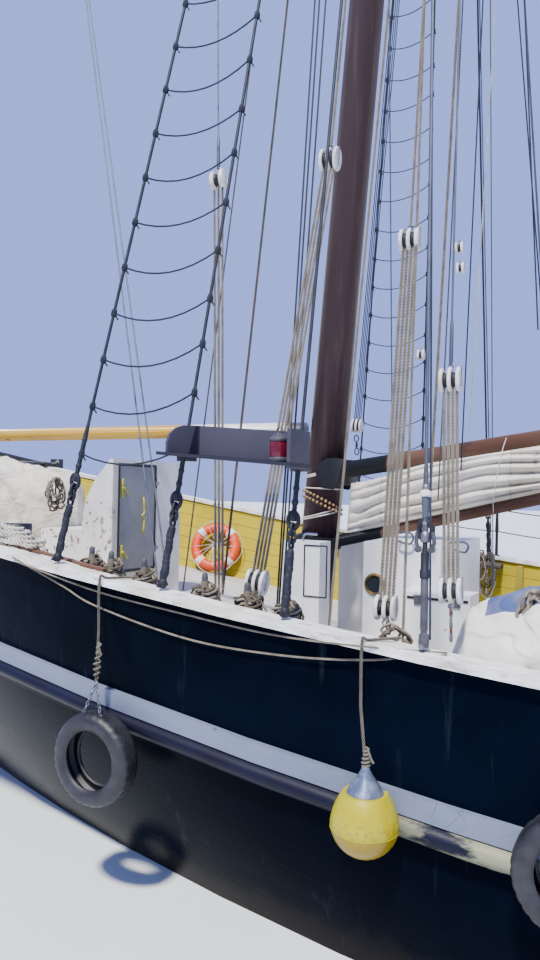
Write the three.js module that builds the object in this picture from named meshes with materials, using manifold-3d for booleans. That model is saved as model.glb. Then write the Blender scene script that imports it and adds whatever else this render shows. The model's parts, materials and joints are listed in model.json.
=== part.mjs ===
// A two-masted gaff schooner with a decked wooden hull, afloat with its sails furled.
// Millimetres: +X aft, +Y starboard, +Z up, origin amidships at the waterline.
import * as THREE from 'three';
import { mergeVertices } from 'three/addons/utils/BufferGeometryUtils.js';
import Module from 'manifold-3d';

const wasm = await Module();
wasm.setup();

// Driving dimensions
const GAP = 0.3;
const FOREMAST_X = -5000;
const MAINMAST_X = 3200;
const RAKE = 0.0737;
const RAKE_FROM_Z = 750;
const STEM_HALF = 110;
const STATIONS = 28;
const DECK_DROP = 1000;
const DECK_THICK = 60;
const DECK_CAMBER = 60;
const BULWARK_THICK = 120;
const CAP_THICK = 45;
const CAP_OUT = 55;
const CAP_IN = 150;
const BAND_HIGH = 120;
const BAND_PROUD = 45;
const STRAKE_PROUD = 85;
const STRAKE_HIGH = 250;
const DECK_SEAT = 0.6;
const DECK_INSET = 4;

// Colours
const PAINT = {
  navy: { color: 0x101a2c, roughness: 0.35 },
  white: { color: 0xd9d8d2, roughness: 0.6 },
  bandGrey: { color: 0xa9b0c4, roughness: 0.6 },
  black: { color: 0x17181c, roughness: 0.5 },
  darkGrey: { color: 0x4a4d57, roughness: 0.5 },
  doorGrey: { color: 0x7d8187, roughness: 0.5 },
  mastRed: { color: 0x4c2b2a, roughness: 0.35 },
  sparBrown: { color: 0x6b3f2c, roughness: 0.5 },
  sparYellow: { color: 0xd9b264, roughness: 0.45 },
  deckWood: { color: 0x9a8468, roughness: 0.8 },
  brownWood: { color: 0x6d4a33, roughness: 0.7 },
  canvas: { color: 0xd8d0bc, roughness: 0.9 },
  steel: { color: 0x55575c, roughness: 0.5, metalness: 0.6 },
  orange: { color: 0xe0562e, roughness: 0.6 },
  yellow: { color: 0xd9a92c, roughness: 0.6 },
  tyre: { color: 0x1b1b1d, roughness: 0.9 },
  bronze: { color: 0x9a7440, roughness: 0.4, metalness: 0.8 },
};

// Smooth curve through a short table of [x, value] rows.
function curve(table, x) {
  const last = table.length - 1;
  const at = Math.min(Math.max(x, table[0][0]), table[last][0]);
  let i = 0;
  while (i < last - 1 && at > table[i + 1][0]) i += 1;
  const [x0, y0] = table[i];
  const [x1, y1] = table[i + 1];
  const slope = (a, b) => (b[1] - a[1]) / (b[0] - a[0]);
  const here = slope(table[i], table[i + 1]);
  const before = i > 0 ? (slope(table[i - 1], table[i]) + here) / 2 : here;
  const after = i < last - 1 ? (slope(table[i + 1], table[i + 2]) + here) / 2 : here;
  const t = (at - x0) / (x1 - x0);
  const h = x1 - x0;
  return (1 + 2 * t) * (1 - t) ** 2 * y0 + t * (1 - t) ** 2 * h * before
    + t * t * (3 - 2 * t) * y1 - t * t * (1 - t) * h * after;
}

// Sheer: the rail's height. Columns: x, z.
const SHEER = [
  [-13900, 3700], [-10000, 2900], [-7000, 2378], [-5000, 2098], [-3000, 1881],
  [-500, 1700], [2500, 1630], [6000, 1700], [9500, 1980], [13200, 2450],
];
const railHeight = (x) => curve(SHEER, x);
const bandTopZ = (x) => railHeight(x) - 700 - 14 * Math.min((x - FOREMAST_X) / 1000, 3);
const bandLowZ = (x) => bandTopZ(x) - BAND_HIGH;

// Lines of the hull from keel to rail. Columns: name, height at x, bow end, where it is full
// forward and aft, stern end, full half-breadth, stern half-breadth, bow and stern fullness.
const LINE_COLUMNS = [
  'name', 'height', 'bow', 'fore', 'aft', 'stern', 'wide', 'sternWide', 'bowFull', 'sternFull',
];
const LINES = [
  ['keel', () => -2150, -8900, -2000, 2500, 8300, 220, 110, 1.5, 1.5],
  ['lowBilge', () => -1700, -9700, 0, 2500, 8500, 1600, 110, 1.7, 1.6],
  ['bilge', () => -900, -10550, -800, 2500, 8900, 2620, 110, 1.75, 1.7],
  ['water', () => 0, -11000, -1000, 2500, 10000, 2950, 110, 1.85, 2.0],
  ['topside', (x) => (railHeight(x) - DECK_DROP) / 2, -12050, -1900, 2300, 12250, 2950, 1100, 2.2, 2.2],
  ['deck', (x) => railHeight(x) - DECK_DROP, -13050, -2600, 1800, 12850, 2950, 1650, 2.6, 2.4],
  ['strakeLow', (x) => bandTopZ(x) - STRAKE_HIGH, -13250, -2800, 1600, 12900, 2951, 1670, 2.7, 2.4],
  ['bandLow', bandLowZ, -13400, -3000, 1400, 12960, 2952, 1690, 2.8, 2.4],
  ['bandTop', bandTopZ, -13500, -3000, 1300, 13000, 2952, 1700, 2.9, 2.4],
  ['rail', railHeight, -13900, -5000, 1000, 13200, 2970, 1750, 2.8, 2.4],
].map((row) => Object.fromEntries(LINE_COLUMNS.map((name, i) => [name, row[i]])));
const line = (name) => LINES.find((l) => l.name === name);
line('deck').level = true;
line('rail').level = true;

const narrowed = (end, wide, share, full) => end + (wide - end) * (1 - share ** full);
function halfBreadth(l, x) {
  if (x < l.fore) return narrowed(STEM_HALF, l.wide, (l.fore - x) / (l.fore - l.bow), l.bowFull);
  if (x > l.aft) return narrowed(l.sternWide, l.wide, (x - l.aft) / (l.stern - l.aft), l.sternFull);
  return l.wide;
}

// The stations of each line, and heights and half-breadths on the facets between them
for (const l of LINES) {
  l.stations = [];
  for (let i = 0; i <= STATIONS; i += 1) {
    const share = (1 - Math.cos((Math.PI * i) / STATIONS)) * 0.3 + (0.4 * i) / STATIONS;
    const x = l.bow + (l.stern - l.bow) * share;
    l.stations.push([x, halfBreadth(l, x), l.height(x)]);
  }
}
function facet(l, x, column) {
  let i = 0;
  while (i < STATIONS - 1 && l.stations[i + 1][0] < x) i += 1;
  const [a, b] = [l.stations[i], l.stations[i + 1]];
  return a[column] + ((b[column] - a[column]) * (x - a[0])) / (b[0] - a[0]);
}
const facetY = (l, x) => facet(l, x, 1);
const facetZ = (l, x) => facet(l, x, 2);

// Station i of a line, pushed out along the plan's normal and up.
function hullPoint(l, i, out = 0, up = 0) {
  const [x, y, z] = l.stations[i];
  if (out === 0) return [x, y, z + up];
  const step = 20;
  const low = Math.max(x - step, l.bow);
  const high = Math.min(x + step, l.stern);
  const slope = (halfBreadth(l, high) - halfBreadth(l, low)) / (high - low);
  const long = Math.hypot(1, slope);
  let px = x - (slope / long) * out;
  let py = y + out / long;
  if (i === STATIONS) px = x + out;
  if (i === STATIONS) py = y + out;
  if (i === 0 && out > 0) px = x - out;
  if (i === 0 && out > 0) py = y + out * 0.4;
  if (out < 0) px = Math.max(px, l.bow - out * 1.35);
  if (out < 0) px = Math.min(px, l.stern + out);
  if (out < 0) py = Math.max(py, 15);
  return [px, py, (l.level ? facetZ(l, px) : z) + up];
}

function signedVolume(points, faces) {
  let sum = 0;
  for (const [a, b, c] of faces) {
    const [p, q, r] = [points[a], points[b], points[c]];
    sum += p[0] * (q[1] * r[2] - q[2] * r[1]);
    sum -= p[1] * (q[0] * r[2] - q[2] * r[0]);
    sum += p[2] * (q[0] * r[1] - q[1] * r[0]);
  }
  return sum;
}

// Closed geometry from points and triangles, turned so that its faces look outward.
function closed(points, faces) {
  const turned = signedVolume(points, faces) < 0 ? faces.map(([a, b, c]) => [a, c, b]) : faces;
  const geometry = new THREE.BufferGeometry();
  geometry.setAttribute('position', new THREE.Float32BufferAttribute(points.flat(), 3));
  geometry.setIndex(turned.flat());
  return geometry;
}

// A quad whose diagonal always climbs the same way, so that touching skins fold alike.
function quad(points, a, b, c, d) {
  if (points[d][2] + points[c][2] > points[a][2] + points[b][2]) return [[a, b, c], [a, c, d]];
  return [[a, b, d], [b, c, d]];
}

// End caps: a fan from the first point, or strips between mirrored points of a folded ring
const fanCap = (size) => Array.from({ length: size - 2 }, (_, j) => [0, j + 1, j + 2]);
const foldedCap = (size) => Array.from({ length: size / 2 - 1 }, (_, j) => [
  [j, j + 1, size - 1 - j], [j + 1, size - 2 - j, size - 1 - j],
]).flat();

// Rings of points joined in order: a tube with ends, or a belt when it closes on itself.
function loft(rings, belt = false, folded = false) {
  const points = rings.flat();
  const size = rings[0].length;
  const faces = [];
  const count = belt ? rings.length : rings.length - 1;
  for (let k = 0; k < count; k += 1) {
    const here = k * size;
    const next = ((k + 1) % rings.length) * size;
    for (let j = 0; j < size; j += 1) {
      const after = (j + 1) % size;
      faces.push(...quad(points, here + j, next + j, next + after, here + after));
    }
  }
  if (!belt) {
    const end = (rings.length - 1) * size;
    const lid = folded ? foldedCap(size) : fanCap(size);
    for (const [a, b, c] of lid) faces.push([a, b, c], [end + a, end + c, end + b]);
  }
  return closed(points, faces);
}

// A belt round the ship: starboard stations from bow to stern, then port back to the bow.
function belt(section) {
  const rings = [];
  for (let i = 0; i <= STATIONS; i += 1) rings.push(section(i));
  for (let i = STATIONS; i >= 0; i -= 1) rings.push(section(i).map(([x, y, z]) => [x, -y, z]));
  return loft(rings, true);
}

function toManifold(geometry) {
  const bare = geometry.clone();
  bare.deleteAttribute('normal');
  bare.deleteAttribute('uv');
  const merged = mergeVertices(bare, 0.001);
  const mesh = new wasm.Mesh({
    numProp: 3,
    vertProperties: new Float32Array(merged.attributes.position.array),
    triVerts: new Uint32Array(merged.index.array),
  });
  return new wasm.Manifold(mesh);
}

function fromManifold(solid) {
  const mesh = solid.getMesh();
  const geometry = new THREE.BufferGeometry();
  geometry.setAttribute('position', new THREE.Float32BufferAttribute(mesh.vertProperties, 3));
  geometry.setIndex(new THREE.Uint32BufferAttribute(mesh.triVerts, 1));
  return geometry;
}

const join = (...parts) => fromManifold(parts.map(toManifold).reduce((a, b) => a.add(b)));
const cut = (body, ...tools) => fromManifold(
  tools.map(toManifold).reduce((a, b) => a.subtract(b), toManifold(body)),
);

// Basic shapes, each already in its place
function box(low, high) {
  const size = low.map((v, i) => high[i] - v);
  const middle = low.map((v, i) => (high[i] + v) / 2);
  return new THREE.BoxGeometry(...size).translate(...middle);
}

// A shape drawn along one axis, turned to lie along another way.
const aimed = (geometry, axis, way) => geometry.applyQuaternion(
  new THREE.Quaternion().setFromUnitVectors(new THREE.Vector3(...axis), way.clone().normalize()),
);

function rod(from, to, radius, endRadius = radius, sides = 8) {
  const a = new THREE.Vector3(...from);
  const b = new THREE.Vector3(...to);
  const way = b.clone().sub(a);
  const geometry = aimed(new THREE.CylinderGeometry(endRadius, radius, way.length(), sides), [0, 1, 0], way);
  return geometry.translate(...a.add(b).multiplyScalar(0.5).toArray());
}

function torus(centre, axis, radius, tube, tubeSides = 8, sides = 20) {
  const geometry = new THREE.TorusGeometry(radius, tube, tubeSides, sides);
  return aimed(geometry, [0, 0, 1], new THREE.Vector3(...axis)).translate(...centre);
}

// An outline in the X-Z plane, given thickness from y = low to y = high.
function slab(outline, low, high) {
  const shape = new THREE.Shape(outline.map(([x, z]) => new THREE.Vector2(x, z)));
  const geometry = new THREE.ExtrudeGeometry(shape, { depth: high - low, bevelEnabled: false });
  return geometry.rotateX(Math.PI / 2).translate(0, high, 0);
}

const group = new THREE.Group();
function add(name, geometry, paint, parent = group) {
  const mesh = new THREE.Mesh(geometry, new THREE.MeshStandardMaterial({ metalness: 0, ...PAINT[paint] }));
  mesh.name = name;
  parent.add(mesh);
  return mesh;
}

// Hull: a decked body with its stem, keel, deadwood and sternpost
const KEEL_HALF = 120;
const STERNPOST_X = 9950;
const STOCK_X = 10160;
const STOCK_RADIUS = 95;
const APERTURE = { fore: 9000, aft: 9700, low: -1800, high: -480 };
const SHAFT_Z = -1150;
const hullLines = LINES.slice(0, 6);
const hullRings = [];
for (let i = 0; i <= STATIONS; i += 1) {
  const starboard = hullLines.map((l) => hullPoint(l, i));
  const port = starboard.map(([x, y, z]) => [x, -y, z]).reverse();
  hullRings.push([...starboard, ...port]);
}
const BACKBONE = [
  [-13150, 2500], [-12250, 900], [-11250, 0], [-10700, -900], [-9850, -1700], [-9000, -2350],
  [-7000, -2480], [STOCK_X + 120, -2620], [STOCK_X + 120, -2480], [STERNPOST_X, -2480],
  [STERNPOST_X, 300], [8300, 300], [8000, -1500], [-8600, -1500], [-12400, 1900],
];
const aperture = box([APERTURE.fore, -400, APERTURE.low], [APERTURE.aft, 400, APERTURE.high]);
const shaft = rod([8800, 0, SHAFT_Z], [9180, 0, SHAFT_Z], 70, 60, 16);
const stockHole = rod([STOCK_X, 0, -300], [STOCK_X, 0, 920], STOCK_RADIUS + 1.2, STOCK_RADIUS + 1.2, 40);
const backbone = cut(slab(BACKBONE, -KEEL_HALF, KEEL_HALF), aperture);
const hull = cut(join(loft(hullRings, false, true), backbone, shaft), stockHole);
// The deadwood and sternpost round the propeller's aperture, parted from the hull by a thin joint
const STERN_FRAME = { fore: 8500, top: -330 };
const sternReach = { aft: 11000, half: 500, low: -3000 };
const sternBlock = (grow) => box(
  [STERN_FRAME.fore - grow, -sternReach.half, sternReach.low],
  [sternReach.aft, sternReach.half, STERN_FRAME.top + grow],
);
const aroundShip = box([-20000, -5000, -5000], [20000, 5000, 8000]);
add('stern_frame', cut(hull, cut(aroundShip, sternBlock(0))), 'navy');
add('hull', cut(hull, sternBlock(GAP)), 'navy');

// Bulwark, deck, rail cap, band and strake follow the same stations.
const bulwarkLines = LINES.slice(5);
const bulwarkSection = (i) => [
  ...bulwarkLines.map((l, k) => hullPoint(l, i, 0, k === 0 ? GAP : 0)),
  hullPoint(line('rail'), i, -BULWARK_THICK),
  hullPoint(line('deck'), i, -BULWARK_THICK, GAP),
];
const bulwark = belt(bulwarkSection);
add('bulwark', bulwark, 'navy');

const deckZ = (x) => railHeight(x) - DECK_DROP;
function deckLoft(inset, bottom, top) {
  const rings = [];
  for (let i = 0; i <= STATIONS; i += 1) {
    const [x, y, z] = hullPoint(line('deck'), i, -BULWARK_THICK - inset);
    rings.push([
      [x, y, z + bottom], [x, -y, z + bottom], [x, -y, z + top],
      [x, 0, z + top + DECK_CAMBER * Math.min(1, y / 1500)], [x, y, z + top],
    ]);
  }
  return loft(rings);
}
add('deck', deckLoft(DECK_INSET, DECK_SEAT, DECK_THICK), 'deckWood');
const deckTool = deckLoft(DECK_INSET, -900, DECK_THICK);
const seated = (geometry) => cut(geometry, deckTool, deckTool.clone().translate(0, 0, GAP));

const cap = line('rail');
const capGeometry = belt((i) => [
  hullPoint(cap, i, CAP_OUT, GAP), hullPoint(cap, i, CAP_OUT, CAP_THICK),
  hullPoint(cap, i, -CAP_IN, CAP_THICK), hullPoint(cap, i, -CAP_IN, GAP),
  hullPoint(cap, i, -BULWARK_THICK, GAP), hullPoint(cap, i, 0, GAP),
]);
add('rail_cap', capGeometry, 'white');

const capTop = (x) => facetZ(cap, x) + CAP_THICK;
const deckTop = (x) => facetZ(line('deck'), x) + DECK_THICK + DECK_CAMBER;

const waleBand = belt((i) => [
  hullPoint(line('bandLow'), i, GAP), hullPoint(line('bandTop'), i, GAP),
  hullPoint(line('bandTop'), i, BAND_PROUD), hullPoint(line('bandLow'), i, BAND_PROUD),
]);
add('wale_band', waleBand, 'bandGrey');
const strake = belt((i) => [
  hullPoint(line('strakeLow'), i, GAP), hullPoint(line('bandLow'), i, GAP, -2),
  hullPoint(line('bandLow'), i, STRAKE_PROUD * 0.6, -12), hullPoint(line('bandLow'), i, STRAKE_PROUD, -55),
  hullPoint(line('strakeLow'), i, STRAKE_PROUD, 40), hullPoint(line('strakeLow'), i, STRAKE_PROUD * 0.5, 4),
]);
add('rubbing_strake', strake, 'black');

// Masts: each lower mast carries trestle trees and a cap, and its topmast stands on the trees.
const mastX = (foot, z) => foot + RAKE * (z - RAKE_FROM_Z);
const MAST_COLUMNS = ['name', 'x', 'radius', 'hounds', 'doubling', 'truck'];
const MASTS = [
  ['fore', FOREMAST_X, 187, 18530, 1700, 24300],
  ['main', MAINMAST_X, 195, 19100, 1700, 25200],
].map((row) => Object.fromEntries(MAST_COLUMNS.map((name, i) => [name, row[i]])));
const TOPMAST_RADIUS = 85;
const TOPMAST_AHEAD = 270;
const TOPMAST_TIP = 50;
const SPLICE_ABOVE = 300;
const MAST_BURIED = 100;
const MAST_TAPER = 0.8;
// The mast cap's middle under the masthead, and how far it reaches before and abaft the mast
const CAP_BAND = 150;
const CAP_FORE = 420;
const CAP_AFT = 150;

function lowerMast(m) {
  const foot = deckZ(m.x) - MAST_BURIED;
  const top = m.hounds + m.doubling;
  const pole = rod(mastLine(m, foot), mastLine(m, m.hounds), m.radius, m.radius * MAST_TAPER, 20);
  const head = rod(mastLine(m, m.hounds - 20), mastLine(m, top), m.radius * 0.72, m.radius * 0.62, 16);
  const houndX = mastX(m.x, m.hounds);
  const trees = box([houndX - 480, -190, m.hounds - 90], [houndX + 240, 190, m.hounds]);
  const capX = mastX(m.x, top - CAP_BAND);
  const capBlock = box([capX - CAP_FORE, -140, top - 210], [capX + CAP_AFT, 140, top - 90]);
  const crosstree = box([houndX - 420, -900, m.hounds - 60], [houndX - 330, 900, m.hounds]);
  const body = join(pole, head, trees, capBlock, crosstree);
  const fid = TOPMAST_RADIUS + 2 * GAP;
  const through = rod(topmastAt(m, m.hounds + 10), topmastAt(m, top + SPLICE_ABOVE), fid, fid, 16);
  return seated(cut(body, through));
}

const mastLine = (m, z) => [mastX(m.x, z), 0, z];
const topmastAt = (m, z) => [mastX(m.x, z) - TOPMAST_AHEAD, 0, z];
function topmast(m) {
  const heel = m.hounds + GAP;
  const splice = m.hounds + m.doubling + SPLICE_ABOVE;
  const low = rod(topmastAt(m, heel), topmastAt(m, splice), TOPMAST_RADIUS, TOPMAST_RADIUS, 16);
  const high = rod(topmastAt(m, splice - 5), topmastAt(m, m.truck), TOPMAST_RADIUS, TOPMAST_TIP, 16);
  const truck = rod(topmastAt(m, m.truck - 5), topmastAt(m, m.truck + 60), 80, 70, 16);
  const foot = box([topmastAt(m, heel)[0] - 200, -200, heel - 200], [topmastAt(m, heel)[0] + 200, 200, heel]);
  return cut(join(low, high, truck), foot);
}

for (const m of MASTS) {
  add(`${m.name}mast`, lowerMast(m), 'mastRed');
  add(`${m.name}_topmast`, topmast(m), 'mastRed');
}

// Shrouds: rods from a collar over the hounds to rigging screws on the rail cap
const SHROUD_RADIUS = 13;
const SHROUD_FEET = { fore: [-640, 290, 1200, 2060], main: [-300, 600, 1500, 2400] };
const SHROUD_INSET = 50;
const COLLAR_DROP = 260;
// How far ahead of the mast's middle each shroud leaves the collar, from the foremost to the aftmost
const EYE_AHEAD = [20, 80, 160, 160];
const SCREW_LONG = 620;
const SCREW_RADIUS = 32;
function shroudFoot(m, offset, side) {
  const x = m.x + offset;
  return [x, side * (facetY(cap, x) - SHROUD_INSET), capTop(x)];
}
function shroudHead(m, k, side) {
  const ringZ = m.hounds - COLLAR_DROP;
  const reach = m.radius * 0.82 + 43;
  const ahead = EYE_AHEAD[k];
  return [mastX(m.x, ringZ) - ahead, side * Math.sqrt(reach * reach - ahead * ahead), ringZ];
}
function shrouds(m) {
  const ringZ = m.hounds - COLLAR_DROP;
  const top = mastLine(m, ringZ);
  const inner = m.radius * 0.82 + 3;
  const collar = cut(
    rod([top[0] - 6, 0, ringZ - 80], [top[0] + 6, 0, ringZ + 80], inner + 70, inner + 60, 20),
    rod(mastLine(m, ringZ - 200), mastLine(m, ringZ + 200), inner, inner, 20),
  );
  const parts = [collar];
  for (const side of [-1, 1]) {
    for (const [k, offset] of SHROUD_FEET[m.name].entries()) {
      const foot = shroudFoot(m, offset, side);
      const start = shroudHead(m, k, side);
      const way = new THREE.Vector3(...foot).sub(new THREE.Vector3(...start)).normalize();
      const end = new THREE.Vector3(...foot).addScaledVector(way, 60);
      const body = new THREE.Vector3(...foot).addScaledVector(way, -SCREW_LONG);
      const into = body.clone().addScaledVector(way, 30);
      parts.push(rod(start, into.toArray(), SHROUD_RADIUS, SHROUD_RADIUS, 5));
      parts.push(rod(body.toArray(), end.toArray(), SCREW_RADIUS, SCREW_RADIUS, 6));
    }
  }
  return cut(join(...parts), capTool);
}
const capTool = belt((i) => [
  hullPoint(cap, i, CAP_OUT + 60, -200), hullPoint(cap, i, CAP_OUT + 60, CAP_THICK + GAP),
  hullPoint(cap, i, -CAP_IN - 60, CAP_THICK + GAP), hullPoint(cap, i, -CAP_IN - 60, -200),
]);
for (const m of MASTS) add(`${m.name}_shrouds`, shrouds(m), 'black');

// Bowsprit on the stem head, its bitts, and the stays that hold the masts
const SPRIT_RADIUS = 165;
const SPRIT_SLOPE = 0.17;
const SPRIT_SEAT = 2.3;
const SPRIT_SHOULDER_X = -14590;
const SPRIT_TIP_RADIUS = 95;
const STEM_X = line('rail').bow;
const SPRIT_STEM_Z = railHeight(STEM_X) + CAP_THICK + SPRIT_RADIUS + SPRIT_SEAT;
const SPRIT_HEEL_X = -11650;
const SPRIT_TIP_X = -18300;
const spritAt = (x) => [x, 0, SPRIT_STEM_Z - SPRIT_SLOPE * (x - STEM_X)];
const sprit = join(
  rod(spritAt(SPRIT_HEEL_X), spritAt(SPRIT_SHOULDER_X - 10), SPRIT_RADIUS, SPRIT_RADIUS, 16),
  rod(spritAt(SPRIT_SHOULDER_X), spritAt(SPRIT_TIP_X), SPRIT_RADIUS, SPRIT_TIP_RADIUS, 16),
);
add('bowsprit', sprit, 'sparYellow');
const BITT_X = SPRIT_HEEL_X + 5;
const heelZ = spritAt(SPRIT_HEEL_X)[2];
const STAY_BOOM = { x: -11050, z: 3410, end: -5060, radius: 80, pin: 30, eye: 75 };
const BITTS = { long: 260, inner: 190, outer: 420, above: 420, bar: 520 };
const stayPin = (low, high, radius, sides) => rod(
  [STAY_BOOM.x, 0, STAY_BOOM.z + low], [STAY_BOOM.x, 0, STAY_BOOM.z + high], radius, radius, sides,
);
const bitts = join(
  box([BITT_X, -BITTS.outer, 1500], [BITT_X + BITTS.long, -BITTS.inner, heelZ + BITTS.above]),
  box([BITT_X, BITTS.inner, 1500], [BITT_X + BITTS.long, BITTS.outer, heelZ + BITTS.above]),
  box([BITT_X + 20, -BITTS.bar, heelZ - 320], [BITT_X + BITTS.long - 20, BITTS.bar, heelZ + 120]),
  box([BITT_X + 200, -60, STAY_BOOM.z - 140], [STAY_BOOM.x + 60, 60, STAY_BOOM.z - 90]),
  stayPin(-135, 120, STAY_BOOM.pin, 16),
);
add('bowsprit_bitts', seated(bitts), 'brownWood');

// Stays run from spar to spar, tapered at both ends, and stop 0.3 mm from what carries them.
const foreMast = MASTS[0];
const mainMast = MASTS[1];
const STAY_RADIUS = 14;
const TIP_RADIUS = 2;
const moved = (geometry, x, y, z) => geometry.clone().translate(x, y, z);
function stay(from, to, radius = STAY_RADIUS, taper = 120) {
  const a = new THREE.Vector3(...from);
  const way = new THREE.Vector3(...to).sub(a);
  const long = way.length();
  const profile = [
    [0, 0], [TIP_RADIUS, 0], [radius, taper], [radius, long - taper], [TIP_RADIUS, long], [0, long],
  ].map(([r, z]) => new THREE.Vector2(r, z));
  return aimed(new THREE.LatheGeometry(profile, 6), [0, 1, 0], way).translate(...from);
}
const along = (x, [[x0, a], [x1, b]]) => a + ((b - a) * (x - x0)) / (x1 - x0);
const SPRIT_TILT = Math.atan(SPRIT_SLOPE);
function onSprit(x, side = 1) {
  const tapered = along(x, [[SPRIT_SHOULDER_X, SPRIT_RADIUS], [SPRIT_TIP_X, SPRIT_TIP_RADIUS]]);
  const radius = x > SPRIT_SHOULDER_X ? SPRIT_RADIUS : tapered;
  const [ax, , az] = spritAt(x);
  const off = side * (radius + GAP);
  return [ax + off * Math.sin(SPRIT_TILT), 0, az + off * Math.cos(SPRIT_TILT)];
}
function beforeMast(m, z) {
  const foot = deckZ(m.x) - MAST_BURIED;
  const radius = along(z, [[foot, m.radius], [m.hounds, m.radius * MAST_TAPER]]) + GAP;
  return [mastX(m.x, z) - radius, 0, z + radius * RAKE];
}
function beforeTopmast(m, z) {
  const splice = m.hounds + m.doubling + SPLICE_ABOVE;
  const radius = along(z, [[splice - 5, TOPMAST_RADIUS], [m.truck, TOPMAST_TIP]]) + 3 * GAP;
  return [topmastAt(m, z)[0] - radius, 0, z + radius * RAKE];
}
add('forestay', stay(onSprit(-13500), beforeMast(foreMast, foreMast.hounds - 560)), 'black');
add('jib_stay', stay(onSprit(-16100), beforeMast(foreMast, foreMast.hounds - 420)), 'black');
add('outer_stay', stay(onSprit(SPRIT_TIP_X + 150), beforeTopmast(foreMast, 23900)), 'black');
const STEM_FOOT = [-11252, 0, -2];
add('bobstay', stay(STEM_FOOT, onSprit(SPRIT_TIP_X + 200, -1), STAY_RADIUS + 4, 260), 'steel');
const capFace = (m, dx) => {
  const z = m.hounds + m.doubling - CAP_BAND;
  return [mastX(m.x, z) + dx, 0, z];
};
add('spring_stay', stay(capFace(foreMast, CAP_AFT + GAP), capFace(mainMast, -CAP_FORE - GAP)), 'black');
const BACKSTAY_FOOT = 2950;
function backstays(m) {
  const z = m.truck - 500;
  const splice = m.hounds + m.doubling + SPLICE_ABOVE;
  const inner = along(z - 60, [[splice, TOPMAST_RADIUS], [m.truck, TOPMAST_TIP]]) * 1.02 + GAP;
  const ring = [[inner, -60], [inner + 34, -60], [inner + 34, 60], [inner, 60], [inner, -60]];
  const collar = new THREE.LatheGeometry(ring.map(([r, h]) => new THREE.Vector2(r, h)), 16);
  collar.rotateX(Math.PI / 2).rotateY(Math.atan(RAKE)).translate(...topmastAt(m, z));
  const parts = [collar];
  for (const side of [-1, 1]) {
    const foot = shroudFoot(m, BACKSTAY_FOOT, side);
    const start = topmastAt(m, z);
    parts.push(rod([start[0] + 10, side * (inner + 18), z], [foot[0], foot[1], foot[2] - 60], 11, 11, 6));
  }
  return cut(join(...parts), capTool);
}
add('main_backstays', backstays(mainMast), 'black');

// Boom, furled sail and gaff of each mast, in the raked frame of that mast. The boom's band and
// the gaff's jaws go round the mast, so all three swing about the mast's own axis.
const RAKE_ANGLE = Math.atan(RAKE);
const SPAR_COLUMNS = [
  'mast', 'boomZ', 'boomSlope', 'boomLong', 'boomRadius',
  'gaffZ', 'gaffSlope', 'gaffLong', 'gaffRadius', 'sailHalf',
];
const SPARS = [
  [foreMast, 1487, 0.328, 7000, 60, 2216, 0.2336, 6100, 84, 170],
  [mainMast, 2000, 0.16, 10500, 90, 2760, 0.1, 8600, 95, 210],
].map((row) => Object.fromEntries(SPAR_COLUMNS.map((name, i) => [name, row[i]])));
const BAND_CLEAR = 1.2;

function mastRadiusAt(m, localZ) {
  const foot = deckZ(m.x) - MAST_BURIED - RAKE_FROM_Z;
  const share = (localZ - foot) / (m.hounds - RAKE_FROM_Z - foot);
  return m.radius * (1 - (1 - MAST_TAPER) * share);
}
const boomAt = (s, x) => [x, 0, s.boomZ + s.boomSlope * x];
const gaffAt = (s, x) => [x, 0, s.gaffZ + s.gaffSlope * x];

const boomSpar = (s, grow) => rod(
  boomAt(s, mastRadiusAt(s.mast, s.boomZ) + 20), boomAt(s, s.boomLong),
  s.boomRadius * 1.05 + grow, s.boomRadius * 0.85 + grow, 12,
);
const gaffSpar = (s, grow) => rod(
  gaffAt(s, mastRadiusAt(s.mast, s.gaffZ) + 30), gaffAt(s, s.gaffLong),
  s.gaffRadius + grow, s.gaffRadius * 0.8 + grow, 12,
);
const mastHole = (z, radius) => rod([0, 0, z - 400], [0, 0, z + 400], radius, radius, 48);
function boomSolid(s) {
  const around = mastRadiusAt(s.mast, s.boomZ) + BAND_CLEAR;
  const band = rod([0, 0, s.boomZ - 15], [0, 0, s.boomZ + 95], around + 40, around + 40, 32);
  return cut(join(band, boomSpar(s, 0)), mastHole(s.boomZ, around));
}

// The jaws: a leaf on each side of the mast, joined abaft it by a block that the gaff is let into
const JAWS = { thick: 26, slot: 2, blockFrom: 45, aft: 95 };
function gaffSolid(s) {
  const around = mastRadiusAt(s.mast, s.gaffZ) + BAND_CLEAR;
  const leaf = [
    [190, -150], [around + JAWS.aft, -40], [around + JAWS.aft, 150], [190, 160],
    [90, 150], [20, 90], [-12, 0], [25, -90], [100, -145],
  ].map(([x, up]) => [x, s.gaffZ + up]);
  const cheeks = cut(slab(leaf, -around - JAWS.thick, around + JAWS.thick), box(
    [-400, -around - JAWS.slot, s.gaffZ - 400], [around + JAWS.blockFrom, around + JAWS.slot, s.gaffZ + 400],
  ));
  return cut(join(cheeks, gaffSpar(s, 0)), mastHole(s.gaffZ, around));
}

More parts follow.
